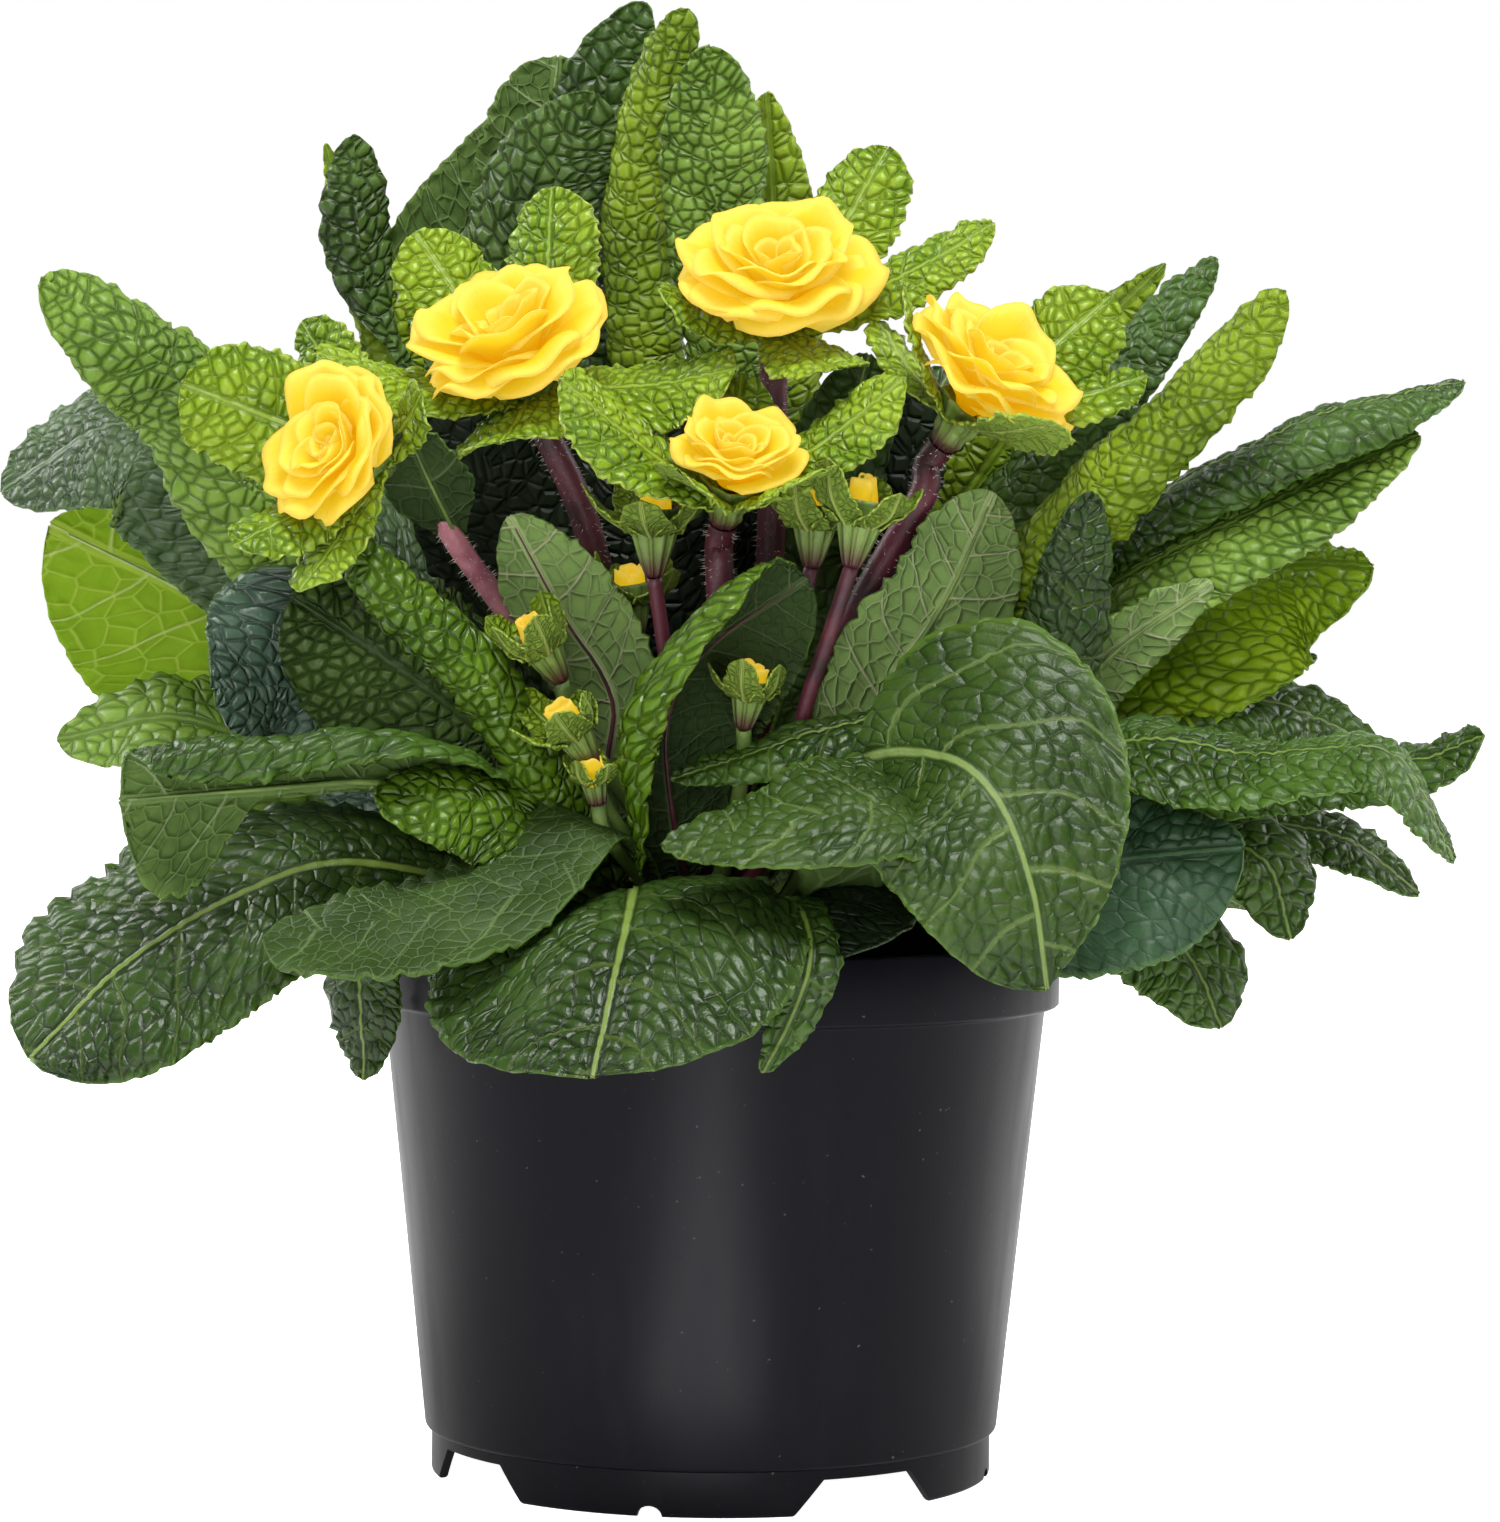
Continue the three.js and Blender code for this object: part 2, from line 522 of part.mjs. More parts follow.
for (const { name, centre, radius, stalk: route, lobes } of flowers) {
  const points = route.map(vector);
  const junction = points[points.length - 1];
  const middle = vector(centre);
  const axis = middle.clone().sub(junction).normalize();
  const bend = junction.clone().addScaledVector(axis, -stalkNeck);
  const stalkEnd = junction.clone().addScaledVector(axis, -gap);
  const stalkPoints = [basePoint(points[0], 2 * baseClearance), ...points.slice(0, -1), bend, stalkEnd];
  add(`${name}_stalk`, stalk(stalkPoints, stalkRadius, 9, 8), colours.stalk);
  const calyx = leafyCalyx(junction, middle, lobes);
  add(`${name}_calyx`, toGeometry(calyx), colours.calyx);
  add(`${name}_petals`, corolla(junction, middle, radius), colours.petal);
}

// A funnel whose mouth opens into pointed lobes, made along +Z.
function lobedFunnel(length, radius, neck) {
  const profile = [
    [0, 0],
    [neck, 0],
    [0.6 * radius, 0.35 * length],
    [radius, 0.75 * length],
    [1.25 * radius, length],
    [0.95 * radius, length],
    [0.3 * radius, 0.7 * length],
    [0, 0.8 * length],
  ];
  const geometry = turned(profile, 2 * budLobes);
  const position = geometry.getAttribute('position');
  for (let i = 0; i < position.count; i++) {
    const [x, y, z] = [position.getX(i), position.getY(i), position.getZ(i)];
    if (z > 0.9 * length) {
      const lobe = 0.22 * Math.cos(budLobes * Math.atan2(y, x));
      position.setXYZ(i, x * (1 + lobe), y * (1 + lobe), z + lobe * length);
    }
  }
  return geometry;
}

const buds = [
  { name: 'bud_centre_left', route: [[-7, -20, 128], [-9, -28, 150], [-11.5, -34, 168]],
    top: [-11, -36, 181] },
  { name: 'bud_centre_right', route: [[4, -20, 126], [10, -30, 146], [14, -33, 157], [17, -36, 170]],
    top: [18, -38, 183] },
  { name: 'bud_right', route: [[12, -26, 122], [16, -36, 144], [20, -41, 157], [24, -44, 170]],
    top: [27, -46, 183] },
  { name: 'bud_left_upper', route: [[-15, -23, 125], [-26, -35, 142], [-28, -38, 149]],
    top: [-33, -41, 158] },
  { name: 'bud_left_lower', route: [[-16, -33, 120], [-20, -39, 127], [-22, -43, 134]],
    top: [-25, -46, 143] },
  { name: 'bud_inner', route: [[3, -28, 122], [5, -33, 134], [5, -34, 141]], top: [6, -35, 152] },
];

for (const { name, route, top } of buds) {
  const points = route.map(vector);
  const junction = points[points.length - 1];
  const end = vector(top);
  const length = end.distanceTo(junction);
  const stem = stalk([basePoint(points[0], 2 * baseClearance), ...points], budStalkRadius, 5, 6);
  const start = junction.clone().lerp(end, -1 / length);
  const head = aim(lobedFunnel(length + 1, 0.36 * length, 1.8), start, end);
  add(name, toGeometry(toSolid(stem).add(toSolid(head))), colours.calyx);
}

export default group;
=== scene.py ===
# Looks of a potted primrose: nursery pot, potting mix, crinkled leaves, five double flowers and their buds.
# The tables are in millimetres in the CAD frame, and a finished mesh is in metres.
import bmesh
import bpy
import math
import random
from mathutils import Matrix, Quaternion, Vector, noise
from mathutils.geometry import interpolate_bezier


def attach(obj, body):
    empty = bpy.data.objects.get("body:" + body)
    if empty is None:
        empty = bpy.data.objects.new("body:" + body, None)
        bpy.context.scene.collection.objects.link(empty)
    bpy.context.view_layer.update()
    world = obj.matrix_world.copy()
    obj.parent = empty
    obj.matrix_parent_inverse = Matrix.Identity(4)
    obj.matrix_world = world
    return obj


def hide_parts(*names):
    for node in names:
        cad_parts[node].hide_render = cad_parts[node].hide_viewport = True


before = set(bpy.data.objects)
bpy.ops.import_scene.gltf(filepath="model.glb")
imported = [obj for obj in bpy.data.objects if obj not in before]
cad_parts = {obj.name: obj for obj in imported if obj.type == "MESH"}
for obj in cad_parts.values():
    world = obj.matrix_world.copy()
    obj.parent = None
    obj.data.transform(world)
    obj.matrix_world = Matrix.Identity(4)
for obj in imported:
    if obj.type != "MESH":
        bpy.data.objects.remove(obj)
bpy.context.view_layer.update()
scene = bpy.context.scene
mm = 0.001


# nodes and materials

def linear(code):  # a hex colour as linear red, green, blue, alpha
    parts = [int(code[i:i + 2], 16) / 255 for i in (0, 2, 4)]
    return (*[p / 12.92 if p <= 0.04045 else ((p + 0.055) / 1.055) ** 2.4 for p in parts], 1)


class Nodes:  # adds nodes to one tree
    def __init__(self, tree):
        self.tree = tree

    def feed(self, node, inputs):  # links an output, and sets anything else as a value
        for name, value in inputs.items():
            if isinstance(value, bpy.types.NodeSocket):
                self.tree.links.new(value, node.inputs[name])
            else:
                node.inputs[name].default_value = value

    def add(self, kind, inputs=None, **settings):
        node = self.tree.nodes.new(kind)
        for name, value in settings.items():
            setattr(node, name, value)
        self.feed(node, inputs or {})
        return node.outputs

    def maths(self, operation, *values):
        return self.add("ShaderNodeMath", dict(enumerate(values)), operation=operation)[0]

    def times(self, first, second, *more):  # first * second + more
        return self.maths("MULTIPLY_ADD" if more else "MULTIPLY", first, second, *more)

    def flip(self, value):
        return self.maths("SUBTRACT", 1.0, value)

    def edge(self, value):  # 0 in the middle of a range from 0 to 1, and 1 at both ends
        return self.maths("ABSOLUTE", self.times(value, 2.0, -1.0))

    def remap(self, value, low, high, toLow=0.0, toHigh=1.0):
        ends = {"Value": value, "From Min": low, "From Max": high, "To Min": toLow, "To Max": toHigh}
        return self.add("ShaderNodeMapRange", ends, interpolation_type="SMOOTHSTEP")[0]

    def mix(self, share, first, second):
        return self.add("ShaderNodeMix", {0: share, 2: first, 3: second})[0]

    def blend(self, share, *colours):
        first, second = (linear(colour) if isinstance(colour, str) else colour for colour in colours)
        return self.add("ShaderNodeMix", {0: share, 6: first, 7: second}, data_type="RGBA")[2]

    def speckle(self, place, scale, detail=2.0):  # noise from 0 to 1
        return self.add("ShaderNodeTexNoise", {"Vector": place, "Scale": scale, "Detail": detail})["Fac"]

    def split(self, vector):
        return self.add("ShaderNodeSeparateXYZ", {0: vector})

    def uvMap(self, layer):
        return self.add("ShaderNodeUVMap", uv_map=layer)[0]

    def place(self):
        return self.add("ShaderNodeTexCoord")["Object"]

    def cameraRay(self):
        return self.add("ShaderNodeLightPath")["Is Camera Ray"]


class Skin(Nodes):  # a new material and its shader
    def __init__(self, name):
        self.material = bpy.data.materials.new(name)
        self.material.use_nodes = True
        super().__init__(self.material.node_tree)
        self.shader = self.tree.nodes["Principled BSDF"]

    def finish(self, inputs, height, look=None):  # height in millimetres, look for the light that passes
        bump = self.add("ShaderNodeBump", {"Height": height, "Distance": mm})[0]
        self.feed(self.shader, {**inputs, "Normal": bump})
        if look:
            glow = self.add("ShaderNodeBsdfTranslucent", {"Color": linear(look["glow"])})[0]
            passing = {0: look["through"], 1: self.shader.outputs[0], 2: glow}
            surface = self.add("ShaderNodeMixShader", passing)[0]
            self.feed(self.tree.nodes["Material Output"], {"Surface": surface})
        return self.material


def newGroup(name, kind, inputs, outputs):  # the nodes, the group's inputs and its output node
    tree = bpy.data.node_groups.new(name, kind)
    for way, sockets in (("INPUT", inputs), ("OUTPUT", outputs)):
        for label, socket in sockets.items():
            tree.interface.new_socket(label, in_out=way, socket_type="NodeSocket" + socket)
    return Nodes(tree), tree.nodes.new("NodeGroupInput").outputs, tree.nodes.new("NodeGroupOutput")


# camera and studio

cameraSetup = dict(place=(6.21, -876, 157.3), pitch=-1.53, roll=0.56, focal=111.29)

studio = dict(
    # the room is dark in front of the plant and overhead, and bright behind it
    worldFront=0.15, worldBack=1.7, worldTop=0.25, frontToBack=(-0.6, 0.6), sideToTop=(0.2, 0.6),
    floorSize=12.0, floorColour="f8f8f7", floorRoughness=0.9, floorSeen=1.0, floorGlow=0.35,
    # name, place, aim, width, height, watts
    lights=(
        ("topSoftbox", (0.1, -0.5, 1.4), (0, 0, 0.15), 0.6, 0.6, 25),
        ("leftSoftbox", (-1.1, 0.5, 1.0), (0, 0, 0.15), 0.5, 0.8, 16),
        ("rightSoftbox", (1.2, 0.4, 1.0), (0, 0, 0.15), 0.5, 0.8, 12),
        ("frontSoftbox", (-0.4, -2.1, 0.9), (0, 0, 0.12), 0.9, 0.9, 20),
    ),
    # a low card in front of the pot, which lights only the pot
    potCard=((-0.004, -0.21, 0.002), (-0.004, -0.21, 1.0), 0.05, 0.26, 0.3),
)


def addCamera():
    data = bpy.data.cameras.new("camera")
    data.sensor_fit, data.sensor_width, data.lens = "HORIZONTAL", 36, cameraSetup["focal"]
    camera = bpy.data.objects.new("camera", data)
    scene.collection.objects.link(camera)
    tilt = Matrix.Rotation(math.radians(90 + cameraSetup["pitch"]), 4, "X")
    roll = Matrix.Rotation(math.radians(cameraSetup["roll"]), 4, "Z")
    camera.matrix_world = Matrix.Translation(Vector(cameraSetup["place"]) * mm) @ tilt @ roll
    scene.camera = camera


def newPiece(name, bm, materials, smooth=True):
    mesh = bpy.data.meshes.new(name)
    bm.to_mesh(mesh)
    bm.free()
    mesh.polygons.foreach_set("use_smooth", [smooth] * len(mesh.polygons))
    piece = bpy.data.objects.new(name, mesh)
    for material in materials:
        mesh.materials.append(material)
    scene.collection.objects.link(piece)
    return piece


def addLight(name, place, aim, width, height, watts):
    data = bpy.data.lights.new(name, "AREA")
    data.shape, data.size, data.size_y, data.energy = "RECTANGLE", width, height, watts
    light = bpy.data.objects.new(name, data)
    light.location = place
    light.rotation_euler = (Vector(aim) - Vector(place)).to_track_quat("-Z", "Y").to_euler()
    scene.collection.objects.link(light)
    return light


def addStudio():
    white = (1, 1, 1, 1)
    world = bpy.data.worlds.new("studio")
    world.use_nodes = True
    nodes = Nodes(world.node_tree)
    heading = nodes.split(nodes.add("ShaderNodeTexCoord")["Generated"])
    glow = nodes.remap(heading["Y"], *studio["frontToBack"], studio["worldFront"], studio["worldBack"])
    glow = nodes.mix(nodes.remap(heading["Z"], *studio["sideToTop"]), glow, studio["worldTop"])
    strength = nodes.mix(nodes.cameraRay(), glow, 1.0)
    nodes.feed(nodes.tree.nodes["Background"], {"Color": white, "Strength": strength})
    scene.world = world
    scene.view_settings.view_transform = "Standard"

    bm = bmesh.new()
    bmesh.ops.create_grid(bm, x_segments=1, y_segments=1, size=studio["floorSize"])
    paper = Skin("floorPaper")
    strength = paper.mix(paper.cameraRay(), studio["floorGlow"], studio["floorSeen"])
    paper.feed(paper.shader, {"Base Color": linear(studio["floorColour"]), "Emission Color": white,
                              "Roughness": studio["floorRoughness"], "Emission Strength": strength})
    newPiece("floor", bm, [paper.material], False)

    for light in studio["lights"]:
        addLight(*light)


addCamera()
addStudio()
print("camera and studio ready")


# The vein net of a blade. Its grid runs along the midrib in x, where every whole number is a side vein, and
# away from the midrib in y, where the right side starts at otherSide. The count of cells goes from one side
# vein to the next, and the width of a pillow's slope and of a crease are in cells.
veinNet = dict(midrib=0.085, midribTip=0.03, side=0.045, sideEnd=0.012, slant=0.45, otherSide=8.0,
               pillow=0.34, dome=0.55, crease=0.1, margin=0.93)


def addVeinNet(nodes, grid, count):
    parts = nodes.split(grid)
    across = nodes.maths("MODULO", parts["Y"], veinNet["otherSide"])
    sideVein = nodes.maths("PINGPONG", parts["X"], 0.5)
    upright = nodes.times(across, veinNet["slant"], parts["X"])
    place = nodes.add("ShaderNodeCombineXYZ", {"X": upright, "Y": parts["Y"]})[0]
    cells, middles = (
        nodes.add("ShaderNodeTexVoronoi", {"Vector": place, "Scale": count},
                  voronoi_dimensions="2D", feature=feature)["Distance"]
        for feature in ("DISTANCE_TO_EDGE", "F1"))
    vein = nodes.maths("MINIMUM", sideVein, nodes.maths("SUBTRACT", across, 0.09))
    nearest = nodes.maths("MINIMUM", cells, nodes.times(vein, count))
    hollow = nodes.flip(nodes.remap(nearest, 0.0, veinNet["pillow"]))
    pillow = nodes.flip(nodes.maths("POWER", hollow, 2.0))
    pillow = nodes.maths("SUBTRACT", pillow, nodes.times(nodes.maths("POWER", middles, 2.0), veinNet["dome"]))
    return across, sideVein, nearest, pillow


def veinGroup():
    labels = ("Pillow", "Midrib", "Side", "Crease", "Margin")
    nodes, given, result = newGroup("leafVeins", "ShaderNodeTree",
                                    {"Grid": "Vector", "Blade": "Vector", "Cells": "Float"},
                                    dict.fromkeys(labels, "Float"))
    across, sideVein, nearest, pillow = addVeinNet(nodes, given["Grid"], given["Cells"])
    blade = nodes.split(given["Blade"])
    width = nodes.remap(blade["Y"], 0.0, 1.0, veinNet["midrib"], veinNet["midribTip"])
    sideWidth = nodes.remap(across, 0.0, 3.0, veinNet["side"], veinNet["sideEnd"])
    midrib = nodes.flip(nodes.remap(nodes.maths("DIVIDE", across, width), 0.5, 1.4))
    side = nodes.flip(nodes.remap(nodes.maths("DIVIDE", sideVein, sideWidth), 0.3, 1.3))
    crease = nodes.flip(nodes.remap(nearest, 0.0, veinNet["crease"]))
    margin = nodes.remap(nodes.edge(blade["X"]), veinNet["margin"], 1.0)
    nodes.feed(result, dict(zip(labels, (pillow, midrib, side, crease, margin))))
    return nodes.tree


def reliefGroup():  # lifts the pillows of a blade between its veins
    nodes, given, result = newGroup("pillowRelief", "GeometryNodeTree",
                                    {"Geometry": "Geometry", "Height": "Float", "Cells": "Float"},
                                    {"Geometry": "Geometry"})
    grid = nodes.add("GeometryNodeInputNamedAttribute", {"Name": "veins"}, data_type="FLOAT_VECTOR")[0]
    pillow = addVeinNet(nodes, grid, given["Cells"])[3]
    height = nodes.times(nodes.maths("SUBTRACT", pillow, 0.5), given["Height"])
    normal = nodes.add("GeometryNodeInputNormal")[0]
    offset = nodes.add("ShaderNodeVectorMath", {0: normal, "Scale": height}, operation="SCALE")[0]
    moved = nodes.add("GeometryNodeSetPosition", {"Geometry": given["Geometry"], "Offset": offset})[0]
    nodes.feed(result, {0: moved})
    return nodes.tree


leafVeins, pillowRelief = veinGroup(), reliefGroup()


def addRelief(piece, height, cells):
    relief = piece.modifiers.new("relief", "NODES")
    relief.node_group = pillowRelief
    for label, value in (("Height", height * mm), ("Cells", cells)):
        relief[pillowRelief.interface.items_tree[label].identifier] = value


# leaf materials

# The colours are the blade's low and high, its crease colour, its ribs, its rim, and the glow of the light
# that passes. The crease colour is painted shade in the creases where it is darker than the blade, and pale
# veins where it is lighter. The numbers are the share of light that passes, the roughness, the shine, the
# count of cells, the height of the pillows in millimetres, and how much the side veins and the creases show.
toneKeys = ("through", "roughness", "shine", "cells", "relief", "side", "crease")
tones = dict(
    mid=("1c300a 3c5a18 162808 6c8436 4e6e20 7a9c1c", 0.12, 0.36, 0.34, 3.1, 0.3, 0.25, 0.55),
    dark=("16260c 304818 101c08 70863a 44601c 6a8c1c", 0.08, 0.31, 0.26, 3.8, 0.2, 0.25, 0.55),
    rugose=("243812 466024 16260c 344c1c 466022 6a8c1c", 0.08, 0.36, 0.28, 2.7, 0.6, 0.1, 0.65),
    # near-black painted shade, for a leaf that lies in shadow and for dark sheets behind the stalks
    deep=("0a1408 16240f 0a1208 1c2c12 243814 3f6018", 0.04, 0.45, 0.22, 3.0, 0.4, 0.1, 0.6),
    blue=("1a3020 344e34 16281a 3c5a3a 4c6c30 3f6030", 0.04, 0.4, 0.22, 4.2, 0.13, 0.15, 0.4),
    wet=("2a4032 4c6652 121e18 3a5038 465e30 3f6030", 0.04, 0.3, 0.5, 2.7, 0.5, 0.15, 0.4),
    smooth=("1c2e0c 304616 5c7446 667e48 4a6622 6a8c28", 0.07, 0.5, 0.22, 4.6, 0.06, 0.3, 0.5),
    matte=("1a2e0a 344c16 1c300c 74884a 567428 7a9c24", 0.1, 0.38, 0.26, 4.8, 0.17, 0.4, 0.4),
    light=("44601a 769638 2c440e 6c8836 789244 94b024", 0.14, 0.37, 0.22, 3.2, 0.4, 0.15, 0.6),
    fresh=("465e0c 7a921c 3a520a 6c861c 8ca030 b4cc1c", 0.18, 0.33, 0.22, 3.0, 0.42, 0.1, 0.5),
    rolled=("2c460a 50700f 223a08 4c6a10 668424 98b41c", 0.12, 0.28, 0.34, 2.7, 0.6, 0.1, 0.6),
    # the backlit and lit tones are brighter yellow-green, painted light that comes through the blade
    backlit=("5c7c0e 86a01c 98ac38 a8bc58 80a028 c4d81c", 0.42, 0.48, 0.22, 3.4, 0.16, 0.7, 0.7),
    lit=("58760e 92ac20 344c0a 7c9434 6c8c24 b4cc1c", 0.3, 0.36, 0.22, 3.8, 0.42, 0.15, 0.7),
    grey=("283a20 465c36 2a3c22 5c744c 587242 7a9c28", 0.1, 0.4, 0.3, 3.1, 0.3, 0.3, 0.5),
    sepal=("54760e 8aa622 44640a 8ca434 a8b850 b4cc1c", 0.2, 0.3, 0.36, 2.7, 0.45, 0.4, 0.5),
    underPale=("5a7440 7a9654 96a870 b0b88c 80984c 7c9c2c", 0.14, 0.75, 0.12, 2.7, -0.35, 0.7, 0.8),
    underSepal=("5a7426 7e963a 8ca04c a0ac5c a0b048 a0bc2c", 0.2, 0.7, 0.12, 2.7, -0.25, 0.5, 0.8),
    under=("3c5226 546c34 647c42 869868 627c38 7c9c2c", 0.14, 0.75, 0.12, 2.7, -0.25, 0.6, 0.8),
    # an underside darkened by painted shade, where it lies in the hollow of a roll or in shadow
    underDark=("202e16 2e401e 3c4e2a 586644 445c26 5f7a24", 0.1, 0.75, 0.12, 2.7, -0.25, 0.5, 0.8),
    # an underside of brighter yellow-green, painted light that comes through a backlit blade
    underBright=("4c6a14 708c20 98a844 b0bc70 7c9c30 a8c81c", 0.4, 0.7, 0.12, 2.7, -0.25, 0.7, 0.8),
)
# scales of noise, shares of a colour mixed in, what the roughness varies by, and bump heights in millimetres;
# the pillow share lightens the tops of the pillows towards the high colour, as painted light and shade
leafLook = dict(blotch=55.0, grain=1900.0, pillow=0.45, velvet=0.16, margin=0.6, midrib=0.9,
                blotchRough=0.1, ribRough=0.12,
                upper=dict(sink=-0.15, rib=0.12, fuzz=0.09), under=dict(sink=0.16, rib=0.35, fuzz=0.12))


def leafTone(name):
    colours, *numbers = tones[name]
    names = ("low", "high", "creaseShadeAndVeins", "rib", "rim", "glow")
    return dict(zip(names, colours.split())) | dict(zip(toneKeys, numbers))


def leafMaterial(name):
    tone, look, underside = leafTone(name), leafLook, name.startswith("under")
    face = look["under" if underside else "upper"]
    skin = Skin(name + ("side" if underside else "Leaf"))
    inputs = {"Grid": skin.uvMap("veins"), "Blade": skin.uvMap("blade"), "Cells": tone["cells"]}
    veins = skin.add("ShaderNodeGroup", inputs, node_tree=leafVeins)
    pillow, crease, place = veins["Pillow"], veins["Crease"], skin.place()
    blotch = skin.remap(skin.speckle(place, look["blotch"], 3.0), 0.32, 0.68)
    grain = skin.speckle(place, look["grain"])
    colour = skin.blend(blotch, tone["low"], tone["high"])
    # painted light and shade: the tops of the pillows lighter, towards the high colour, and the hollows
    # darker
    colour = skin.blend(skin.times(pillow, look["pillow"]), colour, tone["high"])
    # the crease colour: painted shade in the creases where it is darker than the blade, pale veins where
    # lighter
    colour = skin.blend(skin.times(crease, tone["crease"]), colour, tone["creaseShadeAndVeins"])
    colour = skin.blend(skin.times(skin.remap(grain, 0.45, 0.8), look["velvet"]), colour, tone["rim"])
    colour = skin.blend(skin.times(veins["Margin"], look["margin"]), colour, tone["rim"])
    ribs = skin.maths("MAXIMUM", skin.times(veins["Midrib"], look["midrib"]),
                      skin.times(veins["Side"], tone["side"]))
    rough = skin.times(blotch, look["blotchRough"], tone["roughness"] - look["blotchRough"] / 2)
    sink = face["sink"] * (1 if underside else tone["crease"])
    height = skin.times(crease, sink, skin.times(pillow, tone["relief"]))
    height = skin.times(grain, face["fuzz"], skin.times(ribs, face["rib"], height))
    return skin.finish({"Base Color": skin.blend(ribs, colour, tone["rib"]),
                        "Specular IOR Level": tone["shine"],
                        "Roughness": skin.times(ribs, look["ribRough"], rough)}, height, tone)


leafMaterials = {name: leafMaterial(name) for name in tones}


# other materials

def mottledMaterial(name, low, high, scale, roughness, grainScale, grainHeight):  # patches of two colours
    skin = Skin(name)
    place = skin.place()
    patches = skin.remap(skin.speckle(place, scale, 4.0), 0.35, 0.65)
    grain = skin.speckle(place, grainScale)
    return skin.finish({"Base Color": skin.blend(patches, low, high),
                        "Roughness": skin.times(grain, 0.2, roughness - 0.1)}, skin.times(grain, grainHeight))


# name, low and high colours, scale of the patches, roughness, scale and height of the grain
stalkMaterials = {look: mottledMaterial(look + "Stalk", *values) for look, values in {
    "purple": ("2e0e16", "5a2230", 90, 0.5, 1400, 0.12),
    "pink": ("8a4c5c", "b87c84", 120, 0.55, 1400, 0.12),
    "green": ("4c6428", "6c843c", 90, 0.55, 1400, 0.12),
    "pale": ("76904a", "9cac70", 90, 0.55, 1400, 0.12),
}.items()}
hairMaterial = mottledMaterial("stalkHair", "c8c0b4", "efeae2", 60, 0.5, 900, 0.02)
soilMaterial = mottledMaterial("pottingMix", "120c08", "3a2a1c", 260, 0.9, 900, 0.6)
crownMaterial = mottledMaterial("rootstockSkin", "2c2a18", "6c7a3c", 130, 0.75, 700, 0.4)

funnelLook = dict(low="4c6826", high="7c9644", base="481e24", stripe="54302a", stripes=10.0, stripeShare=0.28,
                  patchScale=300.0, grainScale=1500.0, roughness=0.5)


def funnelMaterial():  # grey-green with purple ribs, darker towards the stalk
    skin, look = Skin("calyxFunnel"), funnelLook
    parts, place = skin.split(skin.uvMap("veins")), skin.place()
    stripe = skin.maths("PINGPONG", skin.times(parts["X"], look["stripes"]), 0.5)
    stripe = skin.flip(skin.remap(stripe, 0.05, 0.32))
    green = skin.blend(skin.speckle(place, look["patchScale"], 3.0), look["low"], look["high"])
    colour = skin.blend(skin.remap(parts["Y"], 0.0, 0.5), look["base"], green)
    colour = skin.blend(skin.times(stripe, look["stripeShare"]), colour, look["stripe"])
    height = skin.times(skin.speckle(place, look["grainScale"]), 0.1, skin.times(stripe, 0.25))
    return skin.finish({"Base Color": colour, "Roughness": look["roughness"]}, height)


# the emission colours and strength are painted light, a glow that lifts the shade in the petals' folds
petalLook = dict(base="c89c08", body="cab22a", tip="d8c65c", rim="d8b050", glow="d8c23c", through=0.5,
                 paintedGlow=("ffc608", "ffe02c", "ffe862"), paintedGlowStrength=0.6, roughness=0.6, shine=0.15,
                 rising=(0.25, 0.75), ending=(0.74, 1.0), rimFrom=0.95,  # places from the base to the tip
                 streaks=(38.0, 2.5, 1.0), streakShare=0.16, streakHeight=0.12)


def petalMaterial():
    skin, look = Skin("yellowPetal"), petalLook
    grid = skin.uvMap("blade")
    parts = skin.split(grid)
    stretch = skin.add("ShaderNodeMapping", {"Vector": grid, "Scale": look["streaks"]})[0]
    streaks = skin.speckle(stretch, 1.0)
    share = look["streakShare"]
    along = skin.times(streaks, share, skin.maths("SUBTRACT", parts["Y"], share / 2))
    rising, ending = skin.remap(along, *look["rising"]), skin.remap(along, *look["ending"])
    # the second colour is the emission, painted light that brightens the petals where they lie in shade
    colour, paintedGlow = (
        skin.blend(ending, skin.blend(rising, base, body), tip)
        for base, body, tip in ((look["base"], look["body"], look["tip"]), look["paintedGlow"]))
    edge = skin.maths("MAXIMUM", skin.edge(parts["X"]), parts["Y"])
    return skin.finish({"Base Color": skin.blend(skin.remap(edge, look["rimFrom"], 1.0), colour, look["rim"]),
                        "Emission Color": paintedGlow, "Emission Strength": look["paintedGlowStrength"],
                        "Roughness": look["roughness"], "Specular IOR Level": look["shine"]},
                       skin.times(streaks, look["streakHeight"]), look)


# noises are scale, detail and the range that counts, and bumps are scale and height in millimetres
plasticLook = dict(colour="06060b", roughness=0.36, shine=0.07,
                   worn="0e0e16", wornShare=0.35, wornRough=0.08, wornNoise=(120.0, 5.0, 0.45, 0.75),
                   dust="6c6a66", dustShare=0.4, dustRough=0.3, dustNoise=(900.0, 1.0, 0.76, 0.84),
                   grain=(2600.0, 0.02), wave=(45.0, 0.12))


